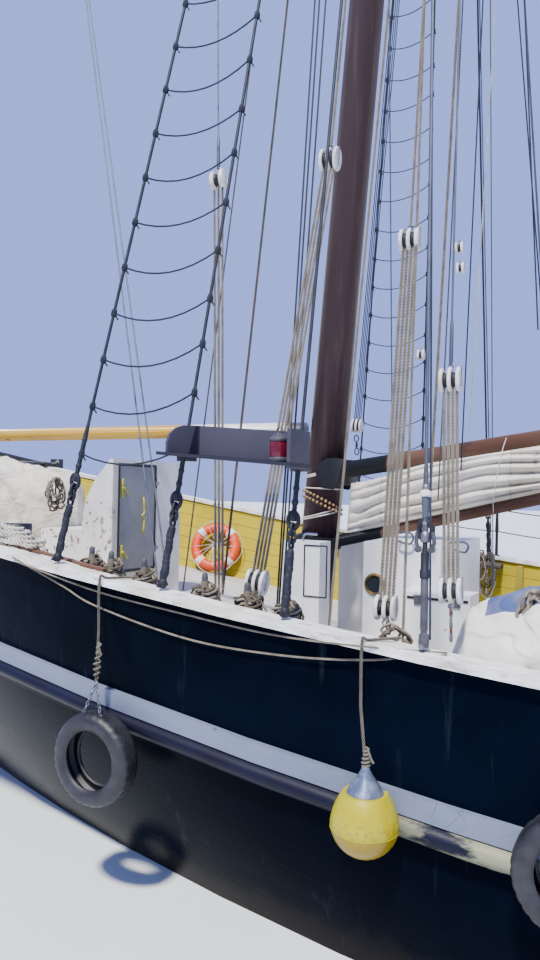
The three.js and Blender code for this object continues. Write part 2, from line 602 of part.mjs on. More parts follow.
// The furled sail fills the space between boom and gaff.
// Columns: share of its length, half-width share.
const SAIL_SHAPE = [[0, 0.5], [0.07, 0.85], [0.3, 1], [0.6, 0.9], [0.85, 0.65], [1, 0.3]];
const SAIL_FROM = JAWS.aft + 15;
const SAIL_TO = 0.9;
function sailSolid(s) {
  const start = mastRadiusAt(s.mast, s.gaffZ) + SAIL_FROM;
  const end = s.gaffLong * SAIL_TO;
  const rings = SAIL_SHAPE.map(([share, widthShare]) => {
    const x = start + (end - start) * share;
    const low = boomAt(s, x)[2] + s.boomRadius * 0.5;
    const high = gaffAt(s, x)[2] - s.gaffRadius * 0.5;
    const wide = s.sailHalf * widthShare;
    const flat = Math.min(40, wide * 0.4);
    const lowSide = low + (high - low) * 0.3;
    const highSide = low + (high - low) * 0.7;
    return [
      [x, -flat, low], [x, flat, low], [x, wide, lowSide], [x, wide, highSide],
      [x, flat, high], [x, -flat, high], [x, -wide, highSide], [x, -wide, lowSide],
    ];
  });
  return cut(loft(rings), boomSpar(s, GAP), gaffSpar(s, GAP));
}

for (const s of SPARS) {
  const raked = new THREE.Group();
  raked.position.set(s.mast.x, 0, RAKE_FROM_Z);
  raked.rotation.y = RAKE_ANGLE;
  group.add(raked);
  add(`${s.mast.name}_boom`, boomSolid(s), 'sparBrown', raked);
  add(`${s.mast.name}_gaff`, gaffSolid(s), 'sparBrown', raked);
  add(`furled_${s.mast.name}sail`, sailSolid(s), 'canvas', raked);
}

// Staysail boom, turning on the pin of the bitts
const boomEye = cut(stayPin(-85, 70, STAY_BOOM.eye, 20), stayPin(-200, 200, STAY_BOOM.pin + 1, 20));
const stayBoomSpar = rod(
  [STAY_BOOM.x + 60, 0, STAY_BOOM.z], [STAY_BOOM.end, 0, STAY_BOOM.z],
  STAY_BOOM.radius, STAY_BOOM.radius * 0.9, 12,
);
add('staysail_boom', join(boomEye, stayBoomSpar), 'sparYellow');

// Bagged staysail on the foredeck. Columns: x, half-width, top z.
const BAG = [
  [-10350, 120, 2900], [-10000, 300, 3130], [-9220, 400, 3150],
  [-8370, 400, 2980], [-7860, 300, 2870], [-7660, 150, 2600],
];
const bag = seated(loft(BAG.map(([x, half, top]) => {
  const low = deckZ(x) - 40;
  const mid = (low + top) / 2;
  return [
    [x, -half * 0.6, low], [x, half * 0.6, low], [x, half, mid], [x, half * 0.7, top - 90],
    [x, 0, top], [x, -half * 0.7, top - 90], [x, -half, mid],
  ];
})));

// Companion hood: a hollow steel box with a door in its aft face
const HOOD = { aft: -7040, half: 635, top: 3080, wall: 40 };
const HOOD_OUTLINE = [
  [HOOD.aft, 900], [HOOD.aft, HOOD.top], [-7075, HOOD.top], [-7180, 2965], [-7290, 2850], [-7400, 2650],
  [-7450, 2460], [-7460, 2290], [-8060, 2290], [-8060, 900],
];
const HOOD_INSIDE = [
  [HOOD.aft - HOOD.wall, 800], [HOOD.aft - HOOD.wall, HOOD.top - HOOD.wall], [-7090, HOOD.top - HOOD.wall],
  [-7210, 2925], [-7260, 2820], [-7362, 2640], [-7410, 2460], [-7420, 2250], [-8020, 2250], [-8020, 800],
];
const HOOD_DOOR = {
  wall: HOOD.aft, low: 1870, high: 3010, port: -570, starboard: 60, lap: 30, thick: 45,
  pinX: -6985, pinY: 105, hinges: [2030, 2770],
};
const hoodDoorway = box(
  [HOOD.aft - 80, HOOD_DOOR.port, HOOD_DOOR.low], [HOOD.aft + 80, HOOD_DOOR.starboard, HOOD_DOOR.high],
);
// Hinges: two knuckles on the wall and one on the door between them, all about one pin line
const HINGE = { radius: 13, wall: [[0, 30], [82, 112]], door: [31, 81] };
function hingePin(d, z, [low, high]) {
  return rod([d.pinX, d.pinY, z + low], [d.pinX, d.pinY, z + high], HINGE.radius, HINGE.radius, 10);
}
const wallLugs = (d) => d.hinges.flatMap((z) => HINGE.wall.map(([low, high]) => join(
  hingePin(d, z, [low, high]), box([d.wall - 5, d.pinY - 6, z + low], [d.pinX, d.pinY + 6, z + high]),
)));
const doorLugs = (d) => d.hinges.map((z) => join(hingePin(d, z, HINGE.door), box(
  [d.wall + d.thick - 11, d.starboard, z + HINGE.door[0]], [d.pinX + 4, d.pinY, z + HINGE.door[1]],
)));
const doorLeaf = (d) => box(
  [d.wall + GAP, d.port - d.lap, d.low - d.lap],
  [d.wall + GAP + d.thick, d.starboard + 20, d.high + d.lap],
);
const hoodShell = cut(
  slab(HOOD_OUTLINE, -HOOD.half, HOOD.half),
  slab(HOOD_INSIDE, -HOOD.half + HOOD.wall, HOOD.half - HOOD.wall), hoodDoorway,
);
const hood = join(hoodShell, ...wallLugs(HOOD_DOOR));
add('companion_hood', seated(hood), 'white');
const hoodBlock = slab(HOOD_OUTLINE, -HOOD.half - GAP, HOOD.half + GAP);
add('furled_staysail', cut(bag, hoodBlock, hoodBlock.clone().translate(-GAP, 0, GAP)), 'canvas');
add('companion_door', join(doorLeaf(HOOD_DOOR), ...doorLugs(HOOD_DOOR)), 'doorGrey');

// Deckhouse abaft the foremast with a locker on its port side, and lockers beside the mast
const HOUSE = { fore: -4140, aft: -3450, port: -700, starboard: 950, top: 2345, wall: 40, round: 180 };
const houseOutline = (inset) => {
  const corner = new THREE.Shape();
  const [fore, aft, port, starboard] = [
    HOUSE.fore + inset, HOUSE.aft - inset, HOUSE.port + inset, HOUSE.starboard - inset,
  ];
  const round = HOUSE.round - inset;
  corner.moveTo(fore, port);
  corner.lineTo(aft, port);
  corner.lineTo(aft, starboard - round);
  corner.absarc(aft - round, starboard - round, round, 0, Math.PI / 2, false);
  corner.lineTo(fore, starboard);
  corner.closePath();
  return corner;
};
const houseBlock = (inset, low, high) => new THREE.ExtrudeGeometry(houseOutline(inset), {
  depth: high - low, bevelEnabled: false, curveSegments: 6,
}).translate(0, 0, low);
const PORTHOLE = { x: -4030, z: 1960, radius: 85 };
const houseHollow = cut(
  houseBlock(0, 600, HOUSE.top),
  houseBlock(HOUSE.wall, 500, HOUSE.top - HOUSE.wall),
  rod(
    [PORTHOLE.x, -1200, PORTHOLE.z], [PORTHOLE.x, 1200, PORTHOLE.z],
    PORTHOLE.radius, PORTHOLE.radius, 20,
  ),
);
const SIDE_LOCKER = { fore: -3700, aft: -3130, port: -1010, top: 1980 };
const sideLocker = box(
  [SIDE_LOCKER.fore, SIDE_LOCKER.port, 600], [SIDE_LOCKER.aft, HOUSE.port + 5, SIDE_LOCKER.top],
);
add('fore_deckhouse', seated(join(houseHollow, sideLocker)), 'white');
const SIDES = [['port', -1], ['starboard', 1]];
const ordered = (a, b) => [Math.min(a, b), Math.max(a, b)];
const MAST_LOCKER = { fore: -4900, aft: -4520, inner: 560, outer: 800, top: 2320 };
for (const [name, side] of SIDES) {
  const [port, starboard] = ordered(side * MAST_LOCKER.inner, side * MAST_LOCKER.outer);
  const locker = box([MAST_LOCKER.fore, port, 600], [MAST_LOCKER.aft, starboard, MAST_LOCKER.top]);
  add(`mast_locker_${name}`, seated(locker), 'white');
}

// Main hatch between the masts: a coaming round an open hatchway, and its hinged lid
const HATCH = { fore: -1500, aft: 900, half: 950, high: 420, wall: 60, lid: 50 };
const hatchTop = deckTop(HATCH.fore) + HATCH.high;
const hatchBlock = (inset, low, high) => box(
  [HATCH.fore + inset, -HATCH.half + inset, low], [HATCH.aft - inset, HATCH.half - inset, high],
);
add('hatch_coaming', seated(cut(
  hatchBlock(0, 200, hatchTop), hatchBlock(HATCH.wall, 100, hatchTop + 100),
)), 'white');
for (const [name, side] of SIDES) {
  const [port, starboard] = ordered(side * 2, side * HATCH.half);
  const lid = box([HATCH.fore, port, hatchTop + GAP], [HATCH.aft, starboard, hatchTop + HATCH.lid]);
  add(`hatch_lid_${name}`, lid, 'brownWood');
}

// Aft deckhouse: a hollow cabin with side windows and a door in its aft wall
const CABIN = { fore: 5400, aft: 8900, half: 1250, wall: 60, high: 1250, eaves: 90 };
const cabinTop = deckTop(CABIN.aft) + CABIN.high;
const CABIN_DOOR = {
  wall: CABIN.aft, low: deckTop(CABIN.aft) + 150, high: cabinTop - 90, port: -330, starboard: 330,
  lap: 25, thick: 40, pinX: CABIN.aft + 52, pinY: 375,
  hinges: [deckTop(CABIN.aft) + 300, cabinTop - 350],
};
const CABIN_WINDOWS = { fore: [5900, 6800, 7700], long: 460, low: -560, high: -220 };
const windowHoles = CABIN_WINDOWS.fore.map((x) => box(
  [x, -2000, cabinTop + CABIN_WINDOWS.low], [x + CABIN_WINDOWS.long, 2000, cabinTop + CABIN_WINDOWS.high],
));
const cabinBlock = (inset, low) => box(
  [CABIN.fore + inset, -CABIN.half + inset, low], [CABIN.aft - inset, CABIN.half - inset, cabinTop - inset],
);
const cabinShell = cut(
  cabinBlock(0, 300),
  cabinBlock(CABIN.wall, 200),
  box(
    [CABIN.aft - 200, CABIN_DOOR.port, CABIN_DOOR.low],
    [CABIN.aft + 200, CABIN_DOOR.starboard, CABIN_DOOR.high],
  ),
  ...windowHoles,
);
const cabinRoof = box(
  [CABIN.fore - CABIN.eaves, -CABIN.half - CABIN.eaves, cabinTop - 5],
  [CABIN.aft + CABIN.eaves, CABIN.half + CABIN.eaves, cabinTop + 45],
);
add('aft_deckhouse', seated(join(cabinShell, cabinRoof, ...wallLugs(CABIN_DOOR))), 'white');
add('aft_deckhouse_door', join(doorLeaf(CABIN_DOOR), ...doorLugs(CABIN_DOOR)), 'brownWood');

// Steering: the wheel turns on a box over the rudder stock
const HELM = { fore: 9900, aft: 10700, half: 380, shaftZ: deckTop(10400) + 820, shaft: 28 };
const WHEEL = { x: HELM.aft + 90, ring: 560, rim: 32, hub: 95, handles: 150, spoke: 17 };
const onShaft = (fore, aft, radius, sides) => rod(
  [fore, 0, HELM.shaftZ], [aft, 0, HELM.shaftZ], radius, radius, sides,
);
add('steering_box', seated(join(
  box([HELM.fore, -HELM.half, 900], [HELM.aft, HELM.half, HELM.shaftZ + 180]),
  onShaft(HELM.aft - 10, HELM.aft + 170, HELM.shaft, 16),
)), 'brownWood');
const spokes = [0, 1, 2, 3].map((k) => {
  const angle = (Math.PI * (k + 0.5)) / 4;
  const across = Math.cos(angle) * (WHEEL.ring + WHEEL.handles);
  const up = Math.sin(angle) * (WHEEL.ring + WHEEL.handles);
  return rod(
    [WHEEL.x, -across, HELM.shaftZ - up], [WHEEL.x, across, HELM.shaftZ + up], WHEEL.spoke, WHEEL.spoke, 6,
  );
});
add('steering_wheel', cut(
  join(
    torus([WHEEL.x, 0, HELM.shaftZ], [1, 0, 0], WHEEL.ring, WHEEL.rim, 6, 20),
    onShaft(WHEEL.x - 50, WHEEL.x + 50, WHEEL.hub, 20), ...spokes,
  ),
  onShaft(WHEEL.x - 300, WHEEL.x + 300, HELM.shaft + 0.8, 24),
), 'brownWood');

// Rudder with its stock in the hull's trunk, and the propeller on its shaft
const RUDDER = { low: -2440, high: -60, aft: 11250, half: 60 };
const STOCK_TOP = 880;
add('rudder', join(
  rod([STOCK_X, 0, RUDDER.low], [STOCK_X, 0, STOCK_TOP], STOCK_RADIUS, STOCK_RADIUS, 16),
  slab([
    [STOCK_X, RUDDER.low], [RUDDER.aft - 150, RUDDER.low + 150], [RUDDER.aft, RUDDER.low + 700],
    [RUDDER.aft - 120, RUDDER.high - 500], [STOCK_X + 500, RUDDER.high], [STOCK_X, RUDDER.high],
  ], -RUDDER.half, RUDDER.half),
), 'black');
const PROP = { x: 9290, radius: 540, blade: 170 };
const blades = [0, 1, 2].map((k) => {
  const blade = new THREE.SphereGeometry(1, 8, 6).scale(22, PROP.blade, PROP.radius / 2);
  blade.rotateZ(0.6).translate(0, 0, PROP.radius / 2).rotateX((k * 2 * Math.PI) / 3);
  return blade.translate(PROP.x, 0, SHAFT_Z);
});
add('propeller', join(
  rod([9180 + 2 * GAP, 0, SHAFT_Z], [9420, 0, SHAFT_Z], 95, 60, 16), ...blades,
), 'bronze');

// Windlass with its turning barrel, forward of the companion
const WINDLASS = { x: -10900, z: 2800, barrel: 150, half: 620, shaft: 40, flange: 45 };
const onBarrel = (port, starboard, radius) => rod(
  [WINDLASS.x, port, WINDLASS.z], [WINDLASS.x, starboard, WINDLASS.z], radius, radius, 16,
);
const windlassEnds = [-1, 1].map((side) => box(
  [WINDLASS.x - 130, side * WINDLASS.half - 55, 1600],
  [WINDLASS.x + 130, side * WINDLASS.half + 55, WINDLASS.z + 260],
));
const windlassBack = box(
  [WINDLASS.x + 60, -WINDLASS.half, 1600],
  [WINDLASS.x + 125, WINDLASS.half, WINDLASS.z - WINDLASS.barrel - 120],
);
add('windlass_frame', seated(join(
  ...windlassEnds, windlassBack, onBarrel(-WINDLASS.half - 250, WINDLASS.half + 250, WINDLASS.shaft),
)), 'brownWood');
add('windlass_drum', cut(
  join(
    onBarrel(-WINDLASS.half + 65, WINDLASS.half - 65, WINDLASS.barrel),
    onBarrel(-310, -250, WINDLASS.barrel + WINDLASS.flange),
    onBarrel(250, 310, WINDLASS.barrel + WINDLASS.flange),
  ),
  onBarrel(-900, 900, WINDLASS.shaft + 1),
), 'steel');

// What stands at the ship's side, once for each side
const bulwarkInward = { port: moved(bulwark, 0, GAP, 0), starboard: moved(bulwark, 0, -GAP, 0) };
const sideY = (x, inset) => facetY(cap, x) - inset;
const BOLLARD = {
  port: [-6670, -7250], starboard: [-8400, -8980], inset: { port: 600, starboard: 850 },
  radius: 115, high: 125,
};
const PIN_RAIL = {
  fore: -6250, aft: -3600, out: 100, in: 335, top: -35, low: -90,
  pins: [-5510, -5330, -5030, -4520, -4190, -3900],
};
for (const [name, side] of SIDES) {
  const postX = BOLLARD[name];
  const postY = side * sideY(postX[1], BOLLARD.inset[name]);
  const postTop = railHeight(postX[0]) + BOLLARD.high;
  const posts = postX.map((x) => rod(
    [x, postY, 900], [x, postY, postTop], BOLLARD.radius, BOLLARD.radius, 20,
  ));
  const foot = box([postX[1] - 160, postY - 120, 900], [postX[0] + 160, postY + 120, deckTop(postX[1]) + 40]);
  add(`bollard_${name}`, seated(join(...posts, foot)), 'black');

  const sections = [0, 1, 2, 3, 4, 5].map((k) => {
    const x = PIN_RAIL.fore + ((PIN_RAIL.aft - PIN_RAIL.fore) * k) / 5;
    const z = railHeight(x);
    const corner = (inset, up) => [x, side * sideY(x, inset), z + up];
    return [
      corner(PIN_RAIL.out, PIN_RAIL.low), corner(PIN_RAIL.in, PIN_RAIL.low),
      corner(PIN_RAIL.in, PIN_RAIL.top), corner(PIN_RAIL.out, PIN_RAIL.top),
    ];
  });
  const pins = PIN_RAIL.pins.map((x) => {
    const at = (up) => [x, side * sideY(x, PIN_RAIL.in - 55), railHeight(x) + up];
    return rod(at(-260), at(125), 15, 24, 6);
  });
  add(`pin_rail_${name}`, cut(join(loft(sections), ...pins), bulwark, bulwarkInward[name]), 'brownWood');
}

// Sidelight boards held by the second and third fore shrouds, square to the mast's rake: a shelf
// with a back board, a splayed cheek at its fore end, an end plate and a lamp
const BOARD = {
  fore: -4700, cheek: -4550, aft: -3730, low: 2950, high: 195, side: 2750, shelf: 270, thick: 24,
  splay: 0.36, shrouds: [1, 2], lampX: -3875, lampOff: 130,
};
// Columns: outward along the cheek, up from the shelf
const CHEEK = [[0, 0], [256, 0], [256, 75], [235, 130], [190, 168], [130, 190], [0, 195]];
const shelfZ = (x) => BOARD.low + RAKE * (BOARD.aft - x);
const onShelf = (fore, aft, low, high) => [
  [fore, shelfZ(fore) + low], [fore, shelfZ(fore) + high],
  [aft, shelfZ(aft) + high], [aft, shelfZ(aft) + low],
];
const shroudLine = (k, side, grow) => rod(
  shroudHead(foreMast, k, side), shroudFoot(foreMast, SHROUD_FEET.fore[k], side),
  SHROUD_RADIUS + grow, SHROUD_RADIUS + grow, 12,
);
function shroudX(k, z) {
  const head = shroudHead(foreMast, k, 1);
  const foot = shroudFoot(foreMast, SHROUD_FEET.fore[k], 1);
  return along(z, [[foot[2], foot[0]], [head[2], head[0]]]);
}
for (const [name, side] of SIDES) {
  const across = (a, b) => ordered(side * (BOARD.side + a), side * (BOARD.side + b));
  const cheek = slab(CHEEK, -BOARD.thick / 2, BOARD.thick / 2)
    .rotateZ(side * (Math.PI / 2 + BOARD.splay))
    .translate(BOARD.cheek, side * BOARD.side, shelfZ(BOARD.cheek));
  const lamp = (low, high, radius, topRadius) => rod(
    [BOARD.lampX, side * (BOARD.side + BOARD.lampOff), shelfZ(BOARD.lampX) + low],
    [BOARD.lampX, side * (BOARD.side + BOARD.lampOff), shelfZ(BOARD.lampX) + high], radius, topRadius, 16,
  );
  const [clampLow, clampHigh] = across(-75, 20);
  const clamps = BOARD.shrouds.map((k) => {
    const x = shroudX(k, BOARD.low);
    return box([x - 50, clampLow, shelfZ(x) - 50], [x + 50, clampHigh, shelfZ(x) - 2]);
  });
  add(`sidelight_${name}`, cut(
    join(
      slab(onShelf(BOARD.cheek, BOARD.aft, 0, BOARD.high), ...across(0, BOARD.thick)),
      slab(onShelf(BOARD.fore, BOARD.aft, -20, 2), ...across(0, BOARD.shelf)),
      slab(onShelf(BOARD.aft - BOARD.thick, BOARD.aft, -35, BOARD.high + 5), ...across(0, BOARD.shelf)),
      cheek, lamp(0, 150, 55, 55), lamp(145, 172, 62, 35), ...clamps,
    ),
    ...BOARD.shrouds.map((k) => shroudLine(k, side, 2 * GAP)),
  ), 'darkGrey');
}

// Fenders hung over the port side on ropes that lie across the rail cap
const FENDER_ROPE = 11;
const strakeSide = moved(strake, 0, -GAP, 0);
function fender(x, body, y, top) {
  const ropeY = -(facetY(cap, x) + CAP_OUT + FENDER_ROPE + 1);
  const over = capTop(x) + FENDER_ROPE;
  const rope = join(
    rod([x, y, top], [x, ropeY, over + 5], FENDER_ROPE, FENDER_ROPE, 8),
    rod([x, ropeY - 8, over], [x, ropeY + 230, over], FENDER_ROPE, FENDER_ROPE, 8),
  );
  const shipSide = [strake, strakeSide, waleBand, hull, capGeometry, moved(capGeometry, 0, 0, GAP)];
  return cut(join(body, rope), ...shipSide);
}
const TYRE = { x: [-5085, -2110], z: 990, half: 92 };
const TYRE_PROFILE = [
  [192, -62], [215, -92], [268, -92], [308, -55], [308, 55], [268, 92], [215, 92], [192, 62], [192, -62],
].map(([r, across]) => new THREE.Vector2(r, across));
const TYRE_CROWN = 270;
for (const [name, x] of [['fore', TYRE.x[0]], ['aft', TYRE.x[1]]]) {
  const y = -(facetY(line('bandLow'), x) + STRAKE_PROUD + TYRE.half * 0.98);
  const tyre = new THREE.LatheGeometry(TYRE_PROFILE, 20).translate(x, y, TYRE.z);
  add(`tyre_fender_${name}`, fender(x, tyre, y, TYRE.z + TYRE_CROWN), 'tyre');
}
const BUOY = { x: -3205, z: 985, radius: 190, neck: 300 };
const buoyY = -(facetY(line('bandLow'), BUOY.x) + STRAKE_PROUD + BUOY.radius * 0.99);
const buoyProfile = [
  [0, -BUOY.radius], [95, -165], [165, -95], [BUOY.radius, 0], [170, 90],
  [110, 190], [60, 255], [52, BUOY.neck], [0, BUOY.neck],
].map(([r, z]) => new THREE.Vector2(r, z));
const buoy = new THREE.LatheGeometry(buoyProfile, 14).rotateX(Math.PI / 2).translate(BUOY.x, buoyY, BUOY.z);
add('buoy_fender', fender(BUOY.x, buoy, buoyY, BUOY.z + BUOY.neck - 20), 'yellow');

// Lifebuoy on the starboard bulwark, and a lashed canvas bundle on deck at the port side
const LIFEBUOY = { x: -7610, z: 1920, ring: 290, tube: 75, off: 110, axis: [-0.4, 1, -0.42] };
const bulwarkFace = facetY(line('bandTop'), LIFEBUOY.x) - BULWARK_THICK;
const lifebuoyMiddle = [LIFEBUOY.x, bulwarkFace - LIFEBUOY.tube - LIFEBUOY.off, LIFEBUOY.z];
add('lifebuoy', cut(
  torus(lifebuoyMiddle, LIFEBUOY.axis, LIFEBUOY.ring, LIFEBUOY.tube, 8, 18),
  bulwark, bulwarkInward.starboard,
), 'orange');
// Columns: x, half-width, top z
const BUNDLE = [
  [-2950, 120, 1950], [-2780, 330, 2180], [-2300, 390, 2260], [-1800, 360, 2130], [-1620, 150, 1850],
];
const bundleY = -2330;
add('canvas_bundle', seated(loft(BUNDLE.map(([x, half, top]) => {
  const low = deckZ(x) - 40;
  const mid = (low + top) / 2;
  return [
    [x, bundleY - half, low], [x, bundleY + half, low], [x, bundleY + half * 1.1, mid],
    [x, bundleY + half * 0.7, top - 60], [x, bundleY, top], [x, bundleY - half * 0.7, top - 60],
    [x, bundleY - half * 1.1, mid],
  ];
}))), 'canvas');

// Anchors stowed on the bow's rail cap: a shank, a stock across it and a fluke on its outer arm
const ANCHOR = { x: -11300, armX: -10660, arm: 38, fluke: 480 };
for (const [name, side] of SIDES) {
  const y = side * sideY(ANCHOR.x, 60);
  const onCap = (dx, dy, radius) => [ANCHOR.x + dx, y + side * dy, capTop(ANCHOR.x + dx) + radius - 1];
  const armZ = capTop(ANCHOR.armX) + ANCHOR.arm - 2;
  const [flukeLow, flukeHigh] = ordered(y + side * (ANCHOR.fluke - 60), y + side * (ANCHOR.fluke + 60));
  add(`anchor_${name}`, cut(join(
    rod(onCap(-700, -240, 42), onCap(700, 180, 34), 42, 34, 10),
    rod([ANCHOR.armX, y - side * 330, armZ], [ANCHOR.armX, y + side * 520, armZ], ANCHOR.arm, ANCHOR.arm, 8),
    box([ANCHOR.armX - 80, flukeLow, armZ - 130], [ANCHOR.armX + 80, flukeHigh, armZ + 90]),
  ), capTool, waleBand, bulwark), 'black');
}

export default group;
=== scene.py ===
"""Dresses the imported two-masted gaff schooner: finishes, running rigging, furled canvas and deck gear.

Metres, in the ship's frame: +X aft, +Y starboard, +Z up, origin amidships at the waterline.
"""

import json
import math
import random

import bmesh
import bpy
import numpy as np
from mathutils import Matrix, Vector
from mathutils import noise as cloud
from mathutils.bvhtree import BVHTree

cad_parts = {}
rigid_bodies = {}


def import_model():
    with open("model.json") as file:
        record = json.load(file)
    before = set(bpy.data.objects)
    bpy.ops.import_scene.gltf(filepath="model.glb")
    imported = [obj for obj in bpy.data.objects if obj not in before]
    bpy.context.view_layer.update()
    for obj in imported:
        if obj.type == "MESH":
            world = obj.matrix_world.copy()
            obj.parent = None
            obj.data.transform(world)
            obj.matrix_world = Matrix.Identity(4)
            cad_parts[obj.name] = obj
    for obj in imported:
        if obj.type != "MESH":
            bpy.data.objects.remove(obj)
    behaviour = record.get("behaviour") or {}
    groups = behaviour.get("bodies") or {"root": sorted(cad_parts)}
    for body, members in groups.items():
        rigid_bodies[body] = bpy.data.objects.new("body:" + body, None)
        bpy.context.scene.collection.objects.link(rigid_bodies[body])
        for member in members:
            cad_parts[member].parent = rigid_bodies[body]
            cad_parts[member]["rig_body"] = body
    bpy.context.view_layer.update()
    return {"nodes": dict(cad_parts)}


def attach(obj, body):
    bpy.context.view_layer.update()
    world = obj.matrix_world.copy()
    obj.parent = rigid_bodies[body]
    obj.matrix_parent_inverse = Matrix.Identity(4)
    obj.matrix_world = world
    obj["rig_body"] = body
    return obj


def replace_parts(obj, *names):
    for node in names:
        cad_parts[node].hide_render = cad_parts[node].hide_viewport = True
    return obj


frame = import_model()
SHIP = "ship"


def put(name, data):
    """Adds an object that holds a mesh, a curve, a camera or a light."""
    made = bpy.data.objects.new(name, data)
    bpy.context.scene.collection.objects.link(made)
    return made


# The camera that the picture was taken with, a little tilted. Its pixels count from the top left corner.
IMAGE_HIGH = 960
FOCAL_PX = 750
HORIZON_PX = 488
MIDDLE_PX = 270
SENSOR_MM = 36
SIGHT_ENDS = 500
CAMERA_AT = Vector((-1.77, -6.955, 2.8))
HEADING = 0.4882
ROLL = 0.021
FORWARD = Vector((-math.sin(HEADING), math.cos(HEADING), 0))
LEVEL_RIGHT = Vector((math.cos(HEADING), math.sin(HEADING), 0))
UP = Vector((0, 0, 1))
RIGHT = math.cos(ROLL) * LEVEL_RIGHT + math.sin(ROLL) * UP
TOP = -math.sin(ROLL) * LEVEL_RIGHT + math.cos(ROLL) * UP

lens = bpy.data.cameras.new("camera")
lens.sensor_fit = "VERTICAL"
lens.sensor_height = SENSOR_MM
lens.lens = FOCAL_PX / IMAGE_HIGH * SENSOR_MM
lens.shift_y = (HORIZON_PX - IMAGE_HIGH / 2) / IMAGE_HIGH
lens.clip_end = SIGHT_ENDS
camera = put("camera", lens)
camera.matrix_world = Matrix.Translation(CAMERA_AT) @ Matrix((RIGHT, TOP, -FORWARD)).transposed().to_4x4()
bpy.context.scene.camera = camera


def sight(pixel):
    """The direction of a pixel of the picture, from the camera."""
    across, down = pixel[0] - MIDDLE_PX, pixel[1] - HORIZON_PX
    return FORWARD * FOCAL_PX + RIGHT * across - TOP * down


def seen(pixel, x=None, y=None, z=None):
    """The point of a plane of constant x, y or z that is behind a pixel of the picture."""
    axis, value = next((i, v) for i, v in enumerate((x, y, z)) if v is not None)
    ray = sight(pixel)
    return CAMERA_AT + ray * ((value - CAMERA_AT[axis]) / ray[axis])


def line_aloft(foot, head_pixel, head_y, head_z):
    """Where a line from a foot ends aloft, when it crosses a pixel of the picture on its way."""
    across, rise = head_y - foot.y, head_z - foot.z
    ray = sight(head_pixel)
    start = CAMERA_AT - foot
    reach = (across * start.z - rise * start.y) / (rise * ray.y - across * ray.z)
    way = start + ray * reach
    return foot + way * (rise / way.z)


# What the CAD solids say about where things are
def solid(name):
    """A CAD solid as a tree that rays can strike."""
    mesh = frame["nodes"][name].data
    return BVHTree.FromPolygons([v.co for v in mesh.vertices], [p.vertices for p in mesh.polygons])


CAP = solid("rail_cap")
DECK = solid("deck")
SKIN = [solid(name) for name in ("hull", "bulwark", "wale_band", "rubbing_strake", "rail_cap")]
PORT, STARBOARD = -1, 1
FAR_OUT = 9
ACROSS = Vector((0, 1, 0))
ALONG = Vector((1, 0, 0))
RAIL_Y_MOST, RAIL_STEP = 3.1, 0.02
CAP_WIDE = 0.25


def deck_z(x, y):
    """The deck's height under a place."""
    return DECK.ray_cast(Vector((x, y, FAR_OUT)), -UP)[0].z


def side_y(x, z, side=PORT):
    """How far out the ship's side stands at a place and height, with its sign."""
    found = [tree.ray_cast(Vector((x, side * FAR_OUT, z)), ACROSS * -side)[0] for tree in SKIN]
    return side * max(side * hit.y for hit in found if hit is not None)


def cap_edge(x, side=PORT):
    """(outer y, inner y, top z) of the rail cap."""
    for step in range(60):
        y = side * (RAIL_Y_MOST - RAIL_STEP * step)
        hit = CAP.ray_cast(Vector((x, y, FAR_OUT)), -UP)[0]
        if hit is not None:
            return y, y - side * CAP_WIDE, hit.z
    raise ValueError(f"no rail cap at x {x}")


RAKE = 0.0737
RAKE_FROM_Z = 0.75
FOREMAST_X = -5.0
MAINMAST_X = 3.2


def mast_x(foot, z):
    """Where a raked mast's middle is at a height."""
    return foot + RAKE * (z - RAKE_FROM_Z)


# Materials
def linear(hex_colour):
    """An sRGB hex value as linear red, green, blue and alpha."""
    parts = [int(hex_colour[i:i + 2], 16) / 255 for i in (1, 3, 5)]
    return [p / 12.92 if p <= 0.04045 else ((p + 0.055) / 1.055) ** 2.4 for p in parts] + [1]


def add_node(tree, kind, inputs=None, **settings):
    """Adds one node with its settings, values and links."""
    made = tree.nodes.new(kind)
    for name, value in settings.items():
        setattr(made, name, value)
    for socket, value in (inputs or {}).items():
        if isinstance(value, Field):
            value = value.socket
        if isinstance(value, bpy.types.NodeSocket):
            tree.links.new(value, made.inputs[socket])
        else:
            made.inputs[socket].default_value = value
    return made


class Field:
    """A number that nodes work out for each point, which takes the usual signs of arithmetic."""

    def __init__(self, tree, socket):
        self.tree, self.socket = tree, socket

    def work(self, operation, *values):
        made = add_node(self.tree, "ShaderNodeMath", dict(enumerate(values)), operation=operation)
        return Field(self.tree, made.outputs[0])

    def __add__(self, other):
        return self.work("ADD", self, other)

    def __sub__(self, other):
        return self.work("SUBTRACT", self, other)

    def __rsub__(self, other):
        return self.work("SUBTRACT", other, self)

    def __mul__(self, other):
        return self.work("MULTIPLY", self, other)

    def __truediv__(self, other):
        return self.work("DIVIDE", self, other)

    def __abs__(self):
        return self.work("ABSOLUTE", self)

    def __lt__(self, other):
        """1 where it is below the other, and 0 elsewhere."""
        return self.work("LESS_THAN", self, other)

    def near(self, other, room):
        """1 where it is no further than room from the other, and 0 elsewhere."""
        return self.work("COMPARE", self, other, room)

    def rise(self, low, high):
        """0 below low, 1 above high, and smooth between them."""
        made = add_node(self.tree, "ShaderNodeMapRange", {0: self, 1: low, 2: high},
                        interpolation_type="SMOOTHSTEP")
        return Field(self.tree, made.outputs[0])

    def seams(self, pitch, width):
        """1 on thin lines at a pitch along it, both in metres."""
        return 1 - self.work("PINGPONG", self, pitch / 2).rise(width * 0.3, width)


